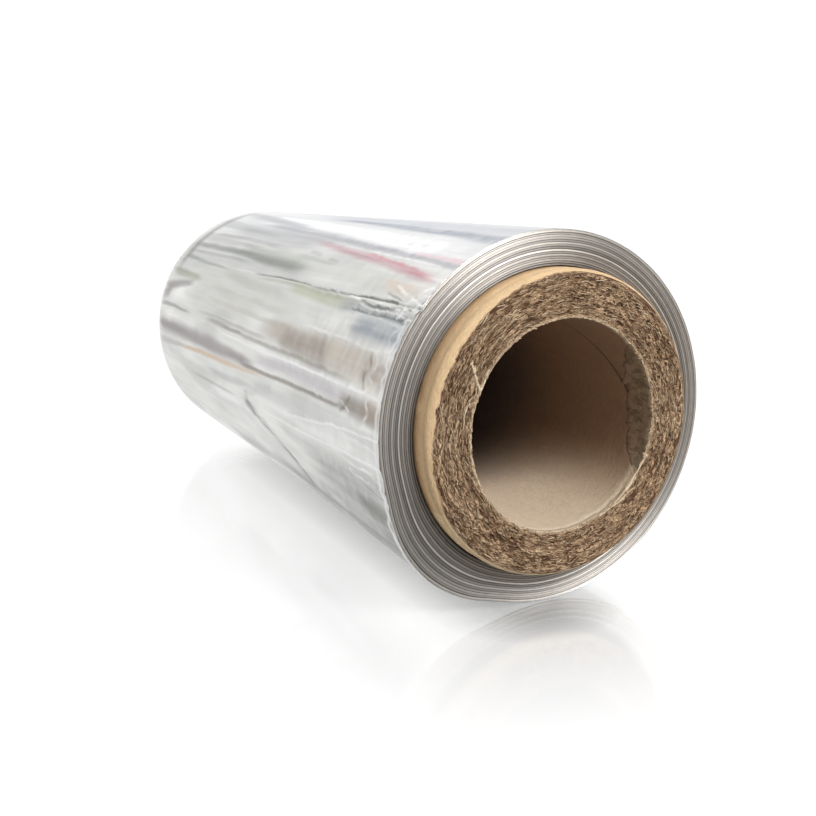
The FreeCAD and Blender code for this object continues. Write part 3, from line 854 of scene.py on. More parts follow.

# Each streak of painted reflection, the white ones painted highlights: angle and height of both its
# ends, half widths there, softness of its ends, colour and strength.
paintedReflections = [
    ((-141.0, -40), (-141.0, 340), 18.0, 18.0, 10, (212, 213, 215), 0.8),
    ((-113.0, -40), (-111.0, 210), 11.0, 9.0, 60, (203, 205, 202), 0.7),
    ((-152.0, 0), (-150.0, 305), 3.0, 4.0, 60, (226, 227, 230), 0.6),
    ((-144.0, 80), (-130.0, 285), 1.8, 5.0, 50, (255, 255, 255), 0.9),
    ((-153.0, 110), (-147.0, 305), 4.5, 6.0, 60, (196, 198, 204), 0.8),
    ((-147.0, 160), (-139.5, 305), 1.6, 2.8, 50, (146, 151, 165), 0.85),
    ((-135.5, 90), (-124.0, 300), 1.6, 1.2, 40, (152, 151, 162), 0.7),
    ((-143.0, 30), (-138.0, 130), 2.6, 2.0, 30, (178, 180, 184), 0.7),
    ((-141.0, 60), (-129.0, 215), 1.6, 2.2, 40, (176, 178, 182), 0.6),
    ((-148.0, 8), (-141.0, 95), 2.2, 1.6, 30, (178, 180, 184), 0.6),
    ((-135.0, 6), (-130.0, 90), 2.6, 1.4, 30, (180, 181, 182), 0.55),
    ((-127.5, 265), (-126.0, 304), 0.9, 1.2, 12, (226, 190, 198), 0.6),
    ((-128.0, 165), (-117.5, 298), 1.6, 2.2, 30, (206, 160, 168), 0.75),
    ((-124.0, 235), (-118.0, 296), 0.7, 1.2, 16, (214, 140, 150), 0.65),
    ((-131.0, 120), (-126.5, 200), 1.5, 1.4, 30, (184, 180, 188), 0.6),
    ((-118.5, 170), (-117.0, 212), 1.2, 0.8, 14, (160, 162, 158), 0.6),
    ((-119.0, 100), (-113.0, 270), 2.4, 3.6, 40, (226, 228, 220), 0.6),
    ((-112.5, 268), (-111.5, 298), 2.6, 2.8, 10, (228, 212, 194), 0.75),
    ((-130.0, 60), (-127.0, 175), 5.0, 5.0, 30, (188, 189, 190), 0.85),
    ((-122.0, 10), (-119.0, 110), 2.6, 1.2, 30, (190, 191, 190), 0.55),
    ((-116.8, 8), (-112.6, 185), 1.4, 2.4, 26, (140, 142, 140), 0.85),
    ((-117.5, 95), (-113.5, 180), 3.4, 4.6, 24, (158, 163, 154), 0.55),
    ((-124.5, 30), (-122.0, 140), 1.2, 1.4, 26, (168, 170, 168), 0.6),
    ((-131.0, 20), (-128.0, 120), 1.4, 1.2, 26, (172, 174, 174), 0.5),
    ((-104.5, 96), (-101.0, 182), 2.6, 2.2, 26, (186, 190, 178), 0.55),
    ((-96.0, 90), (-95.0, 200), 1.2, 1.6, 26, (200, 200, 192), 0.5),
    ((-90.5, 100), (-90.0, 214), 0.9, 1.2, 26, (198, 196, 188), 0.5),
    ((-112.4, 15), (-110.5, 120), 1.0, 1.0, 30, (166, 168, 166), 0.5),
    ((-108.6, 15), (-105.4, 92), 1.2, 0.7, 20, (150, 153, 150), 0.7),
    ((-107.1, 140), (-106.9, 303), 0.45, 0.55, 14, (100, 102, 96), 0.9),
    ((-104.4, 190), (-103.8, 245), 2.4, 2.2, 14, (186, 194, 150), 0.7),
    ((-105.6, 150), (-105.2, 300), 0.9, 0.8, 20, (176, 180, 160), 0.6),
    ((-103.0, 245), (-103.0, 304), 1.8, 2.2, 10, (140, 146, 146), 0.75),
    ((-97.8, 266), (-97.8, 299), 3.4, 3.8, 7, (150, 158, 168), 0.8),
    ((-99.5, 60), (-98.0, 225), 5.5, 2.6, 40, (218, 218, 212), 0.5),
    ((-92.0, 60), (-90.0, 170), 5.0, 6.0, 40, (214, 213, 206), 0.5),
    ((-99.6, 8), (-99.0, 62), 2.6, 1.6, 14, (158, 162, 136), 0.7),
    ((-90.0, 0), (-96.0, 52), 3.2, 2.0, 12, (150, 144, 144), 0.75),
    ((-86.0, 0), (-89.0, 16), 3.2, 3.0, 6, (160, 152, 152), 0.7),
    ((-88.0, 186), (-86.5, 304), 3.2, 6.0, 30, (196, 184, 172), 0.8),
    ((-85.6, 205), (-86.0, 252), 3.6, 5.6, 8, (160, 150, 140), 0.55),
    ((-87.5, 252), (-87.0, 285), 5.0, 5.0, 8, (222, 212, 196), 0.6),
    ((-86.5, 285), (-86.5, 304), 3.6, 3.6, 4, (166, 150, 138), 0.65),
    ((-82.6, 0), (-82.0, 58), 1.2, 0.7, 14, (146, 148, 146), 0.8),
    ((-82.4, 98), (-81.6, 270), 0.9, 0.9, 24, (170, 164, 156), 0.75),
    ((-84.4, 80), (-84.0, 190), 0.7, 0.9, 24, (186, 184, 178), 0.6),
    ((-79.6, 120), (-79.3, 304), 0.45, 0.6, 25, (255, 255, 255), 0.95),
    ((-76.6, 178), (-76.0, 270), 2.0, 2.4, 14, (206, 200, 206), 0.7),
    ((-71.6, 158), (-72.2, 272), 1.0, 0.7, 10, (142, 132, 124), 0.8),
    ((-74.4, 272), (-74.2, 302), 2.8, 3.0, 6, (150, 138, 128), 0.8),
    ((-75.6, 292), (-75.6, 304), 3.0, 3.0, 4, (186, 168, 152), 0.6),
    ((-72.0, 0), (-73.2, 172), 4.2, 2.2, 22, (156, 149, 150), 0.85),
    ((-66.4, 55), (-70.2, 180), 1.1, 0.9, 26, (222, 198, 172), 0.85),
    ((-64.0, 0), (-66.8, 60), 2.4, 1.0, 24, (184, 180, 180), 0.6),
    ((-66.0, 175), (-66.5, 300), 1.6, 2.6, 24, (218, 218, 218), 0.6),
    ((-61.5, 212), (-68.0, 300), 0.40, 0.40, 14, (255, 255, 255), 0.9),
    ((-56.5, 178), (-60.6, 303), 0.45, 0.35, 12, (255, 255, 255), 0.95),
    ((-62.0, 110), (-64.0, 165), 2.0, 1.2, 20, (190, 190, 190), 0.6),
    ((-48.0, 236), (-47.0, 302), 9.0, 9.5, 30, (162, 164, 160), 0.75),
    ((-57.5, 154), (-54.0, 172), 1.6, 2.0, 12, (168, 169, 168), 0.4),
    ((-58.0, 140), (-53.0, 158), 2.4, 3.2, 8, (240, 240, 240), 0.7),
    ((-52.0, 100), (-47.0, 150), 3.0, 4.0, 20, (226, 226, 226), 0.6),
    ((-55.5, 70), (-56.5, 140), 0.8, 0.7, 20, (184, 184, 184), 0.6),
    ((-30.0, 110), (-32.5, 205), 4.0, 5.0, 26, (156, 158, 154), 0.6),
    ((-27.0, 190), (-33.0, 304), 12.0, 12.0, 35, (130, 132, 128), 0.8),
    ((-41.0, 160), (-41.0, 212), 2.4, 2.4, 12, (224, 224, 222), 0.5),
    ((-43.6, 280), (-42.6, 303), 3.2, 3.8, 8, (132, 134, 128), 0.7),
    ((-61.4, 182), (-60.4, 292), 1.5, 1.3, 20, (252, 252, 251), 0.65),
    ((-52.8, 108), (-54.2, 150), 2.6, 1.8, 14, (252, 252, 252), 0.75),
    ((-54.5, 205), (-52.5, 245), 2.2, 2.8, 16, (196, 197, 195), 0.5),
    ((-43.0, 232), (-43.0, 262), 1.6, 2.0, 12, (222, 223, 221), 0.5),
    ((-12.0, 60), (-15.0, 240), 9.0, 9.0, 40, (186, 188, 184), 0.7),
    ((-18.0, 0), (-26.0, 95), 9.0, 3.0, 20, (250, 250, 250), 0.8),
]

# Folds and wrinkles drawn as lines through a few points: their half width in millimetres, colour,
# strength and how far they stand off the skin. The colours are painted highlights along the raised
# ones and painted shade along the sunken ones.
wrinklesWithPaintedLight = [
    (((-67, 196), (-64, 176), (-60, 162)), 2.6, (186, 186, 185), 0.30, -0.1),
    (((-59, 161), (-57, 160), (-54, 167)), 2.8, (152, 153, 151), 0.60, -0.25),
    (((-56, 160), (-50, 184), (-45, 204), (-36, 218)), 2.2, (136, 138, 136), 0.85, -0.45),
    (((-38, 216), (-33, 223), (-28, 234)), 3.0, (146, 148, 145), 0.45, -0.15),
    (((-54, 170), (-49, 192), (-44, 212)), 1.1, (244, 244, 244), 0.75, 0.3),
    (((-52, 150), (-47, 172), (-42, 190)), 2.4, (226, 227, 226), 0.55, 0.0),
    (((-106.6, 250), (-105.3, 266), (-106.2, 282), (-104.6, 296), (-105.4, 304)),
     0.55, (250, 250, 248), 0.9, 0.3),
    (((-104.6, 262), (-103.5, 276), (-104.5, 290), (-103.0, 304)),
     0.5, (246, 246, 244), 0.85, 0.25),
    (((-105.8, 262), (-104.6, 276), (-105.4, 290)), 0.5, (106, 110, 106), 0.8, -0.25),
    (((-102.6, 258), (-102.0, 276), (-102.8, 290), (-101.6, 303)),
     0.5, (112, 118, 120), 0.75, -0.25),
    (((-101.2, 266), (-101.6, 284), (-100.4, 300)), 0.5, (238, 240, 240), 0.75, 0.2),
    (((-93.6, 226), (-92.4, 246), (-93.4, 262), (-92.0, 280), (-93.0, 302)),
     0.55, (246, 245, 240), 0.85, 0.3),
    (((-100.5, 300), (-97.6, 296.5), (-94.4, 299), (-92.0, 295)), 0.6, (240, 241, 240), 0.7, 0.25),
    (((-92.0, 292), (-89.4, 296), (-86.0, 290.5), (-83.0, 295), (-79.6, 291)),
     0.7, (250, 246, 238), 0.85, 0.35),
    (((-91.0, 288), (-87.6, 291), (-84.6, 286), (-81.4, 289)), 1.0, (128, 112, 98), 0.65, -0.25),
    (((-79.6, 297), (-77.0, 292), (-74.6, 297), (-71.6, 292), (-69.4, 297)),
     0.6, (250, 247, 240), 0.8, 0.3),
    (((-74.6, 274), (-72.6, 281), (-70.6, 277), (-69.4, 288), (-70.4, 300)),
     0.55, (248, 247, 244), 0.85, 0.3),
    (((-76.8, 279), (-74.0, 276.5), (-71.8, 273)), 0.9, (118, 108, 100), 0.7, -0.25),
    (((-66.0, 268), (-64.6, 280), (-65.6, 292), (-63.6, 304)), 0.45, (250, 250, 250), 0.7, 0.2),
    (((-57.6, 272), (-56.0, 284), (-57.2, 294), (-55.0, 303)), 0.5, (252, 252, 252), 0.85, 0.3),
    (((-54.4, 276), (-53.0, 288), (-53.8, 298)), 0.5, (252, 252, 252), 0.8, 0.25),
    (((-51.6, 288), (-50.2, 298), (-50.6, 304)), 0.45, (126, 128, 124), 0.6, -0.2),
    (((-126.6, 205), (-124.6, 250), (-123.0, 292)), 0.5, (250, 250, 252), 0.5, 0.1),
    (((-123.4, 210), (-121.8, 250), (-119.8, 284)), 0.45, (176, 168, 178), 0.4, -0.05),
    (((-119.0, 204), (-118.4, 214)), 0.9, (160, 162, 158), 0.4, 0.0),
    (((-121.4, 180), (-120.6, 192)), 1.3, (160, 162, 160), 0.4, 0.0),
    (((-113.0, 280), (-110.8, 287), (-109.6, 296), (-107.8, 303)), 0.7, (252, 250, 246), 0.8, 0.35),
    (((-110.4, 276), (-108.8, 284), (-108.2, 294)), 0.5, (150, 148, 142), 0.6, -0.25),
    (((-114.0, 303), (-111.6, 298), (-109.6, 301), (-107.6, 294), (-105.6, 299), (-103.0, 295)),
     0.8, (255, 255, 253), 0.95, 0.5),
    (((-113.0, 305), (-109.4, 303), (-107.2, 299), (-104.8, 303), (-102.4, 298)),
     0.55, (110, 112, 110), 0.8, -0.4),
    (((-107.4, 290), (-107.8, 297), (-106.4, 304)), 0.8, (255, 255, 253), 0.9, 0.45),
    (((-82.6, 102), (-81.8, 120), (-82.4, 150)), 0.8, (150, 148, 144), 0.6, 0.0),
    (((-100.5, 172), (-97.5, 180), (-93.5, 168)), 2.4, (238, 238, 234), 0.35, 0.0),
]

# Each crease: angle and height of both its ends, half width in degrees, height of the ridge in mm.
creases = [
    ((-107.4, 150), (-107.2, 305), 0.5, -0.35), ((-106.0, 235), (-105.2, 305), 0.45, 0.35),
    ((-104.2, 262), (-103.4, 305), 0.4, -0.3), ((-101.6, 180), (-101.0, 305), 0.5, 0.22),
    ((-92.6, 228), (-93.4, 305), 0.5, 0.30), ((-79.4, 118), (-79.3, 305), 0.55, 0.32),
    ((-73.0, 145), (-72.9, 290), 0.5, -0.25), ((-76.5, 20), (-76.0, 160), 0.9, 0.18),
    ((-69.0, 10), (-70.5, 190), 0.8, -0.2), ((-114.0, 20), (-112.0, 190), 1.4, -0.22),
    ((-56.5, 178), (-60.6, 305), 0.5, 0.35), ((-61.5, 212), (-68.0, 305), 0.5, 0.3),
    ((-54.5, 262), (-53.0, 305), 0.5, 0.35), ((-52.0, 225), (-49.0, 305), 0.7, -0.3),
    ((-126.5, 190), (-117.0, 305), 0.8, 0.2), ((-136.5, 120), (-129.0, 305), 1.2, -0.16),
    ((-144.0, 60), (-141.0, 305), 1.0, 0.14), ((-97.5, 255), (-98.5, 305), 0.6, 0.3),
]


def strokeAmount(angle, height, points, width):
    # A line drawn on the unrolled skin, in degrees and millimetres.
    scale = math.radians(1) * roll["foil"]
    line = [(point[0] * scale, point[1]) for point in points]
    return lineAmount(angle * scale, height, line, width)


def skinNoise(name, spot, shift=0.0):
    fineness, seed, layers = skinNoises[name]
    return layeredNoise(spot * fineness + shift, seed, layers)


def skinRelief(angle, height, warp):
    # How far the skin stands off its smooth form, in millimetres.
    spot = aroundAxis(roll["foil"], angle, height)
    relief = skin["waveDepth"] * skinNoise("wave", spot)
    relief += skin["fineWaveDepth"] * skinNoise("fineWave", spot)
    for start, end, width, rise in creases:
        way = (height - start[1]) / (end[1] - start[1])
        away = angle - start[0] - (end[0] - start[0]) * np.clip(way, 0, 1) + 0.5 * warp
        ends = smoothStep(-0.02, 0.1, way)
        if end[1] < 300:        # the others run on to the edge
            ends = ends * smoothStep(1.02, 0.9, way)
        relief += rise * ends * np.exp(-np.abs(away) / width)
    for points, width, _, _, rise in wrinklesWithPaintedLight:
        if rise:
            stroke = strokeAmount(angle, height, points, width * 1.3)
            relief += skin["wrinkleShare"] * rise * stroke
    crumpled = np.exp(-((angle + 107.5) / 4.5) ** 2 - ((height - 304) / 12.0) ** 2)
    folds = 0.5 - np.abs(skinNoise("crumple", spot))
    relief += skin["crumpleDepth"] * crumpled * folds
    dented = np.exp(-((angle + 62) / 9.0) ** 2 - ((height - 303) / 9.0) ** 2)
    return relief + skin["dentDepth"] * dented * skinNoise("dent", spot)


def slanted(spot, angle, slope):
    # Moves places along the roll as they go round it, so that the noise there lies aslant.
    return spot + np.outer(slope * angle * math.radians(roll["foil"]), [0, 0, 1])


def skinColour(angle, height, warp):
    spot = aroundAxis(roll["foil"], angle, height)
    nearEnd = smoothStep(150, 260, height)
    jagged = skinNoise("jagged", spot) * (0.25 + 0.9 * nearEnd)
    cloud = skinNoise("cloud", slanted(spot, angle, 1.2), 0.4 * warp[:, None])
    cloud = smoothStep(0.12, 0.5, cloud) - smoothStep(-0.12, -0.5, cloud)
    broad, lines, finer = (skinNoise(name, spot) for name in ("broad", "lines", "finer"))
    ripple = skinNoise("ripple", slanted(spot, angle, 0.10), 0.9 * warp[:, None])
    blotch = skinNoise("blotch", spot, 0.3 * warp[:, None])
    wrinkled = within(angle, skin["wrinkledSide"]) * smoothStep(215, 240, height)
    calm = 1 - 0.7 * wrinkled
    colour = flatColour(skin["base"], len(angle))
    seen = within(angle, skin["seenSide"])
    colour = colour * (1 + 0.10 * broad + (0.04 + 0.14 * seen) * blotch + 0.11 * seen * cloud
                       + (0.07 * lines + 0.02 * finer) * calm)[:, None]
    # Streaks of painted reflection and painted highlight over the foil's colour.
    for start, end, low, high, soft, tone, strength in paintedReflections:
        way = (height - start[1]) / (end[1] - start[1])
        centre = start[0] + (end[0] - start[0]) * np.clip(way, 0, 1)
        half = low + (high - low) * np.clip(way, 0, 1)
        away = np.abs(angle - centre + 1.5 * warp + 0.5 * jagged) / half
        rough = height + (0.25 * soft + 2.0) * lines
        inside = smoothStep(start[1] - soft * 0.6, start[1] + soft * 0.6, rough)
        if end[1] < 299:        # the others run on to the edge
            inside *= smoothStep(end[1] + soft * 0.6, end[1] - soft * 0.6, rough)
        uneven = np.clip(0.85 + 0.45 * lines + 0.35 * jagged, 0.2, 1)
        amount = smoothStep(1.5, 0.25, away) * inside * strength * uneven
        colour = blendColours(colour, tone, amount)
    # Painted highlights along raised wrinkles and painted shade along sunken ones.
    for points, width, tone, strength, _ in wrinklesWithPaintedLight:
        across = angle + 0.3 * warp + 0.6 * jagged
        amount = strokeAmount(across, height + 1.5 * lines, points, width)
        broken = np.clip(0.75 + 0.7 * finer + 0.5 * jagged, 0.1, 1)
        colour = blendColours(colour, tone, amount * strength * broken)
    shimmer = 1 + (0.03 * nearEnd + 0.09 * wrinkled) * ripple + 0.06 * nearEnd * jagged
    colour *= shimmer[:, None]

    # A painted glint along the upper edge, and a darker painted reflection and a pale rim at the lower
    # one.
    edgeWave = 302.2 + 1.2 * skinNoise("edge", spot)
    # Painted glint along the foil's upper edge.
    brightLine = smoothStep(1.6, 0.3, np.abs(height - edgeWave))
    brightLine = brightLine + smoothStep(303.4, 304.6, height)
    brightLine = np.clip(brightLine, 0, 1) * smoothStep(-125, -108, angle)
    colour = blendColours(colour, skin["brightLine"], brightLine * (0.65 + 0.3 * jagged))
    # A darker band near the lower edge, a painted reflection.
    smudge = np.exp(-((height - 13 - 2 * lines) / 4.5) ** 2) * within(angle, skin["smudgedSide"])
    colour = blendColours(colour, skin["smudge"], smudge * 0.7)
    farRim = smoothStep(8, 2, height + 2 * lines)
    return blendColours(colour, skin["farRim"], farRim * 0.5)


def makeSkin():
    low, high = skin["front"]
    front = np.linspace(low, high, skin["frontColumns"], endpoint=False)
    back = np.linspace(high, low + 360, skin["backColumns"], endpoint=False)
    degrees = np.concatenate([front, back])
    columns = len(degrees)
    width = roll["foilTop"] - roll["foilBase"]
    way = np.linspace(0, 1, skin["rows"])
    heights = width * (1 - (1 - way) ** skin["rowSpacing"])
    angle = np.tile(degrees, len(heights))
    height = np.repeat(heights, columns)
    spot = aroundAxis(roll["foil"], angle, height)
    warp = 0.9 * skinNoise("warp", spot)
    relief = skinRelief(angle, height, warp) * smoothStep(0, 4, height)
    radius = turnRadius(angle, looseLift(height + roll["foilBase"])) + relief
    colour = skinColour(angle, height, warp)
    atTail = np.exp(-((angle - skin["tailAt"]) / 3.5) ** 2)
    ragged = 0.25 + 0.9 * within(angle, skin["tornSide"]) + 2.0 * atTail
    nearEdge = smoothStep(width - 9, width, height) ** 2
    raised = ragged * (0.5 + 0.5 * skinNoise("ragged", spot))
    lifted = height + nearEdge * (raised - 0.2)

    # The inner wall follows the outer one, a little deeper.
    innerHeights = np.concatenate([[width - 1.2], np.linspace(width - 6, 0, skin["innerRows"])])
    lastRing = radius[-columns:]
    inner = [turnRadius(degrees, looseLift(np.full(columns, level + roll["foilBase"])))
             - skin["thickness"] for level in innerHeights]
    radius = np.concatenate([radius, lastRing - skin["edgeThickness"]] + inner)
    lifted = np.concatenate([lifted, lifted[-columns:] - 0.02, np.repeat(innerHeights, columns)])
    angle = np.concatenate([angle, np.tile(degrees, len(innerHeights) + 1)])
    edge = flatColour(skin["edge"], columns)
    # The inner wall is painted at half the edge's colour, painted shade.
    colour = np.concatenate([colour, edge, np.tile(edge * 0.5, (len(innerHeights), 1))])
    positions = aroundAxis(radius, angle, lifted + roll["foilBase"])
    piece = ringMesh("outer_foil", positions, columns)
    storeColour(piece, "shade", colour)
    folded = within(angle, skin["foldedSide"])
    storeNumber(piece, "wrinkled", smoothStep(160, 270, lifted) * folded)
    return piece


def makeFoilMaterial(name, settings):
    # Rolled foil: sharp round the roll and blurred along it, with fine rolling lines.
    graph = ShaderGraph(bpy.data.materials.new(name))
    place = graph.add("ShaderNodeTexCoord", "Object")
    lines = graph.noise(place, settings["fineLines"], 3.0)
    height = lines
    shade = graph.ranged(lines, 0.3, 0.7, 0.96, 1.03)
    colour = graph.mixed(1.0, graph.attribute("shade", "Color"), shade, "MULTIPLY")
    if settings["crumple"]:
        creased = graph.noise(place, settings["crumple"], 3.0, 1.0)
        creased = graph.times(creased, graph.attribute("wrinkled"))
        height = graph.plus(lines, graph.times(creased, 5.0))
    bump = graph.add("ShaderNodeBump", Strength=0.6, Distance=settings["lineDepth"], Height=height)
    around = graph.add("ShaderNodeTangent", 0, {"direction_type": "RADIAL", "axis": "Z"})
    shader = graph.add("ShaderNodeBsdfPrincipled", Base_Color=colour, Metallic=1.0, Normal=bump,
                       Roughness=settings["roughness"], Anisotropic=settings["alongRoll"],
                       Anisotropic_Rotation=0.25, Tangent=around)
    return graph.finish(shader)


outerFoil = makeSkin()
outerFoil.data.materials.append(makeFoilMaterial("bright foil", skin))
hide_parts("foil_turns")
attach(outerFoil, "root")
print("outer foil made:", len(outerFoil.data.polygons), "faces")


# Ends of the turns: a closed ring at each end of the roll, its face ridged by a node tree.
turnEnds = {"columns": 640, "rows": 96, "depth": 14.0, "parting": 0.6, "partingDepth": 1.6,
            "partingAngle": -55.0, "inset": 0.35, "seat": 0.02, "bands": 15.0, "bandDepth": 0.22,
            "fineTurns": 45.0, "fineDepth": 0.04, "drift": 0.035, "driftScale": 18.0,
            "crown": 0.55, "lastBand": 0.975, "tone": 0.62, "spread": 0.46, "fineSpread": 0.34,
            "patchiness": 0.6, "grooveShade": 0.95, "dark": 0.05, "red": 1.05, "blue": 0.94,
            "roughness": 0.74, "alongRoll": 0.80, "fineLines": (420, 420, 420),
            "lineDepth": 0.00008, "crumple": None}


def makeTurnRing(name, sign):
    # Rows run outwards over the face, then down inside the foil, in and up along the core.
    columns = turnEnds["columns"]
    degrees = np.arange(columns) * 360 / columns
    top = roll["foilTop"] if sign > 0 else roll["foilBase"]
    deep = top - sign * turnEnds["depth"]
    partingFoot = top - sign * turnEnds["partingDepth"]
    outer = turnRadius(degrees, looseLift(np.full(columns, top))) - turnEnds["inset"]
    facing = 0.5 + 0.5 * np.cos(np.radians(degrees - turnEnds["partingAngle"]))
    start = roll["core"] + turnEnds["parting"] * (0.35 + 0.65 * facing)
    radii, levels, build = [], [], []
    for step in range(turnEnds["rows"] + 1):
        way = step / turnEnds["rows"]
        radii.append(start + (outer - start) * way)
        levels.append(np.full(columns, top))
        build.append(np.full(columns, way))
    against = np.full(columns, roll["core"] + turnEnds["seat"])
    below = turnRadius(degrees, looseLift(np.full(columns, deep))) - 2 * turnEnds["inset"]
    for ring, level in ((below, deep), (against, deep), (against, partingFoot),
                        (start, partingFoot)):
        radii.append(ring)
        levels.append(np.full(columns, level))
        build.append(np.full(columns, -1.0))     # not on the face
    if sign < 0:
        radii, levels, build = radii[::-1], levels[::-1], build[::-1]
    radius, level = np.concatenate(radii), np.concatenate(levels)
    positions = aroundAxis(radius, np.tile(degrees, len(radii)), level)
    piece = ringMesh(name, positions, columns, flip=True)
    storeNumber(piece, "build", np.concatenate(build))
    return piece


def makeTurnTree(material):
    # Ridges of the turns: bands, finer turns in them and a slow wander, along the roll's axis.
    maker = PieceTree("turn ridges", {
        "Bands": turnEnds["bands"], "Band Depth": turnEnds["bandDepth"] * mm,
        "Fine Turns": turnEnds["fineTurns"], "Fine Depth": turnEnds["fineDepth"] * mm,
        "Tone": turnEnds["tone"], "Tone Spread": turnEnds["spread"], "Side": 1.0, "Seed": 5.0})
    given, maths = maker.given, maker.maths
    plus, minus, times = maker.plus, maker.minus, maker.times

    def randomOf(value, step):
        pair = maker.add("ShaderNodeCombineXYZ", X=value, Y=plus(given["Seed"], step))
        return maker.add("ShaderNodeTexWhiteNoise", "Value", {"noise_dimensions": "2D"},
                         Vector=pair)

    def centred(value, spread):
        return times(minus(value, 0.5), spread)

    def fromMiddle(value):
        # 0 in the middle of each whole step, 1 at its ends.
        doubled = times(maths("FRACT", value), 2.0)
        return maths("ABSOLUTE", minus(doubled, 1.0))

    way = maker.add("GeometryNodeInputNamedAttribute", "Attribute", {"data_type": "FLOAT"},
                    Name="build")
    slow = maker.add("ShaderNodeTexNoise", "Fac", {"noise_dimensions": "4D"},
                     Vector=maker.add("GeometryNodeInputPosition"), W=given["Seed"],
                     Scale=turnEnds["driftScale"], Detail=3.0)
    uneven = plus(way, centred(slow, turnEnds["drift"]))
    banded = times(uneven, given["Bands"])
    bandRandom = randomOf(maths("FLOOR", banded), 0.0)
    sharpness = plus(3.0, times(bandRandom, 4.0))
    groove = maths("POWER", fromMiddle(banded), sharpness)
    groove = times(groove, maths("LESS_THAN", way, turnEnds["lastBand"]))
    fineWay = times(uneven, given["Fine Turns"])
    fineRandom = randomOf(maths("FLOOR", fineWay), 3.0)
    crown = minus(times(bandRandom, turnEnds["crown"]), groove)
    fineCrown = minus(fineRandom, maths("POWER", fromMiddle(fineWay), 2.0))
    rise = plus(times(crown, given["Band Depth"]), times(fineCrown, given["Fine Depth"]))
    onFace = maths("GREATER_THAN", way, -0.5)
    rise = times(times(rise, given["Side"]), onFace)
    ridged = maker.add("GeometryNodeSetPosition", Geometry=given["Geometry"],
                       Offset=maker.add("ShaderNodeCombineXYZ", Z=rise))

    bright = plus(given["Tone"], centred(bandRandom, given["Tone Spread"]))
    bright = plus(bright, centred(fineRandom, turnEnds["fineSpread"]))
    patchy = plus(1.0, centred(slow, turnEnds["patchiness"]))
    lined = minus(1.0, times(groove, turnEnds["grooveShade"]))
    lined = times(times(bright, patchy), lined)
    # Rows off the face, down inside the foil and in the parting by the core, are painted black:
    # painted shade.
    toned = times(maths("MAXIMUM", lined, turnEnds["dark"]), onFace)
    shade = maker.add("FunctionNodeCombineColor", Red=times(toned, turnEnds["red"]),
                      Green=toned, Blue=times(toned, turnEnds["blue"]))
    return maker.finish(maker.store(ridged, "shade", "FLOAT_COLOR", "POINT", shade), material)


turnTree = makeTurnTree(makeFoilMaterial("foil edges", turnEnds))
for name, side, seed in (("turn_ends_upper", 1.0, 5.0), ("turn_ends_lower", -1.0, 9.0)):
    ring = makeTurnRing(name, side)
    runTree(ring, turnTree, {"Side": side, "Seed": seed})
    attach(ring, "root")
print("ends of the turns made")


# Floor, board beside the roll, surroundings and lamp, in metres. Directions point from the roll
# outwards. A row of four numbers is two places and the value at each.
studio = {"floor": (0.93, 0.93, 0.93, 1.0), "floorSize": 6.0, "floorShare": 0.22,
          "floorGlow": 1.24, "boardAngle": 21.8, "boardGap": 0.0684, "boardTall": 0.62,
          "boardWide": 1.1, "boardGlow": 1.10, "boardGloss": 0.35, "boardRoughness": 0.09,
          "boardFade": 0.15, "boardReach": 0.18, "glowShare": (0.0, 0.05, 0.45, 0.82),
          "farEnd": (0.02, 0.09, 1.0, 0.0), "contact": 0.038, "contactShift": 0.008,
          "contactStretch": 1.2, "contactTop": (0.29, 0.316, 0.28, 0.44),
          "contactFar": (0.06, 0.20, 0.38, 0.0), "softLight": 0.40,
          "room": ((0.0, 1.0), (0.15, 1.0), (0.30, 0.85), (0.45, 0.70), (0.55, 0.5),
                   (0.75, 0.42), (0.88, 0.38), (1.0, 0.40)),
          "roomPatches": (0.35, 0.65, 0.84, 1.16), "roomScale": 6.0,
          "roomStretch": (1, 1, 0.25), "aim": (0, 0, 0.25), "keyPower": 15.0, "keySize": 0.5,
          "keyFrom": (-0.6215, -0.0544, 0.7815), "keyDistance": 1.3}


def makeFloorMaterial():
    # Pale and matt; the camera sees a little added white, and metal sees the surroundings instead.
    graph = ShaderGraph(bpy.data.materials.new("pale floor"))
    path = graph.nodes.new("ShaderNodeLightPath").outputs
    matt = graph.add("ShaderNodeBsdfDiffuse", Color=studio["floor"])
    glow = graph.add("ShaderNodeEmission", Color=grey(1.0), Strength=studio["floorGlow"])
    both = graph.blended(1 - studio["floorShare"], matt, glow)
    toCamera = graph.blended(path["Is Camera Ray"], matt, both)
    clear = graph.add("ShaderNodeBsdfTransparent")
    return graph.finish(graph.blended(path["Is Glossy Ray"], toCamera, clear))


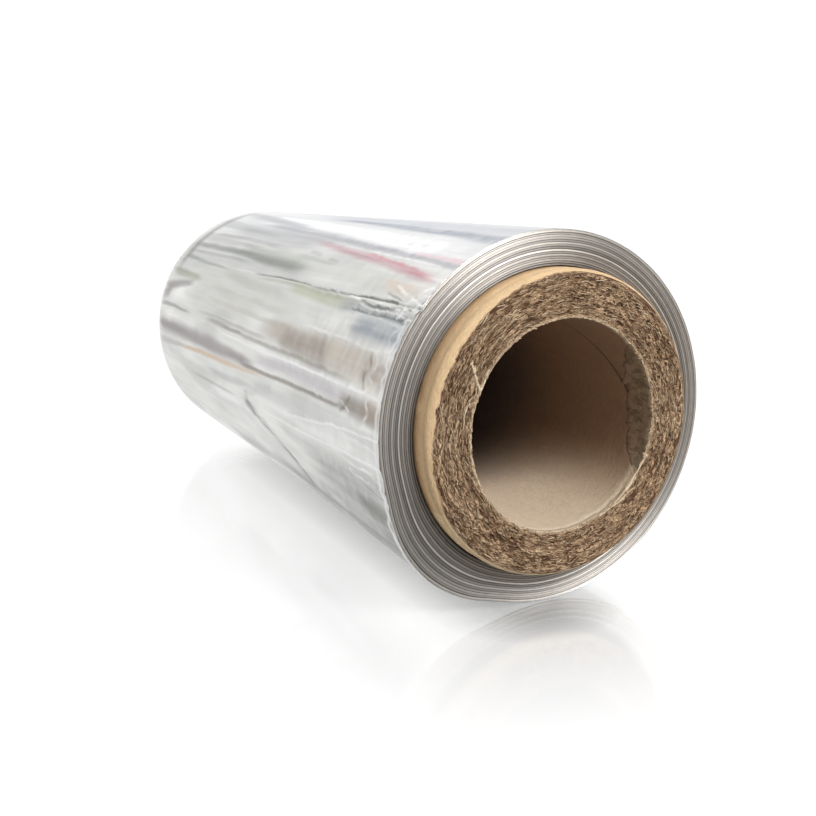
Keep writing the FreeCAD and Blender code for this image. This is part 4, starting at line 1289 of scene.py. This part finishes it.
def makeBoardMaterial():
    # The glossy surface that the roll lies on in the photograph. It only shows from its front,
    # takes the roll's shadow and a faint reflection, and throws no light or shadow on the roll.
    graph = ShaderGraph(bpy.data.materials.new("white glossy board"))
    maths, plus, minus, times = graph.maths, graph.plus, graph.minus, graph.times
    path = graph.nodes.new("ShaderNodeLightPath").outputs
    place = graph.add("ShaderNodeTexCoord", "Object")
    height = graph.parts(place)["Z"]
    turn = math.radians(studio["boardAngle"])
    beside = graph.nodes.new("ShaderNodeVectorMath")
    beside.operation = "DOT_PRODUCT"
    graph.plug(beside.inputs[0], place)
    graph.plug(beside.inputs[1], (-math.sin(turn), math.cos(turn), 0))

    # Distance from the line where the roll touches the board, and how dark the painted shadow is
    # there, which darkens the board's colour and its glow.
    beyond = maths("MAXIMUM", minus(height, roll["foilTop"] * mm), 0.0)
    beyond = times(beyond, studio["contactStretch"])
    shifted = plus(beside.outputs["Value"], studio["contactShift"])
    away = maths("SQRT", plus(maths("POWER", shifted, 2.0), maths("POWER", beyond, 2.0)))
    darkestPaintedShadow = plus(graph.ranged(height, *studio["contactTop"]),
                   graph.ranged(height, *studio["contactFar"]))
    level = graph.ranged(away, studio["contact"] * 0.30, studio["contact"], darkestPaintedShadow, 1.0)
    tone = graph.add("ShaderNodeCombineColor", Red=level, Green=level, Blue=level)
    matt = graph.add("ShaderNodeBsdfDiffuse", Color=tone)
    glow = graph.add("ShaderNodeEmission", Color=tone, Strength=studio["boardGlow"])
    both = graph.blended(graph.ranged(away, *studio["glowShare"]), matt, glow)
    gloss = graph.add("ShaderNodeBsdfGlossy", Color=grey(1.0), Roughness=studio["boardRoughness"])
    near = graph.ranged(away, 0.0, studio["boardFade"], 1.0, 0.0, smooth=True)
    glazed = graph.blended(times(near, studio["boardGloss"]), both, gloss)

    front = minus(1.0, graph.add("ShaderNodeNewGeometry", "Backfacing"))
    reach = studio["boardReach"]
    farEnd = graph.ranged(height, *studio["farEnd"], smooth=True)
    shown = times(front, path["Is Camera Ray"])
    shown = times(shown, graph.ranged(away, reach * 0.6, reach, 1.0, 0.0, smooth=True))
    shown = times(shown, minus(1.0, farEnd))
    clear = graph.add("ShaderNodeBsdfTransparent")
    return graph.finish(graph.blended(shown, clear, glazed))


def makeStagePlane(name, corners, material):
    mesh = bpy.data.meshes.new(name)
    mesh.from_pydata(corners, [], [(0, 1, 2, 3)])
    mesh.materials.append(material)
    plane = bpy.data.objects.new(name, mesh)
    bpy.context.collection.objects.link(plane)


def makeStage():
    size = studio["floorSize"]
    corners = [(-size, -size, 0), (size, -size, 0), (size, size, 0), (-size, size, 0)]
    makeStagePlane("floor", corners, makeFloorMaterial())
    turn = math.radians(studio["boardAngle"])
    middle = Vector((math.cos(turn), math.sin(turn), 0)) * studio["boardGap"]
    across = Vector((-math.sin(turn), math.cos(turn), 0)) * studio["boardWide"]
    up = Vector((0, 0, studio["boardTall"]))
    corners = [middle + across, middle - across, middle - across + up, middle + across + up]
    makeStagePlane("board", corners, makeBoardMaterial())


def makeWorld():
    # White behind everything, soft light on the roll, and a grey room for the foil to mirror.
    world = bpy.data.worlds.new("studio")
    bpy.context.scene.world = world
    graph = ShaderGraph(world, "ShaderNodeOutputWorld")
    path = graph.nodes.new("ShaderNodeLightPath").outputs
    white = graph.add("ShaderNodeBackground", Color=grey(1.0))
    soft = graph.add("ShaderNodeBackground", Color=grey(1.0), Strength=studio["softLight"])
    direction = graph.add("ShaderNodeTexCoord", "Generated")
    tall = graph.ranged(graph.parts(direction)["Z"], -1, 1)
    room = graph.ramp(tall, [(height, grey(level)) for height, level in studio["room"]])
    squeezed = graph.add("ShaderNodeMapping", Vector=direction, Scale=studio["roomStretch"])
    patches = graph.add("ShaderNodeTexNoise", 0, Vector=squeezed, Scale=studio["roomScale"],
                        Detail=3.0)
    patches = graph.ranged(patches, *studio["roomPatches"])
    mirrored = graph.add("ShaderNodeBackground", Color=room, Strength=patches)
    lighting = graph.blended(path["Is Glossy Ray"], soft, mirrored)
    graph.finish(graph.blended(path["Is Camera Ray"], lighting, white))


def makeLamp(name, direction, distance, size, power):
    data = bpy.data.lights.new(name, "AREA")
    data.size = size
    data.energy = power
    lamp = bpy.data.objects.new(name, data)
    bpy.context.collection.objects.link(lamp)
    aim = Vector(studio["aim"])
    lamp.location = aim + Vector(direction).normalized() * distance
    lamp.rotation_euler = (aim - lamp.location).to_track_quat("-Z", "Y").to_euler()


makeStage()
makeWorld()
makeLamp("key", studio["keyFrom"], studio["keyDistance"], studio["keySize"], studio["keyPower"])
bpy.context.scene.view_settings.view_transform = "Standard"
print("studio made")
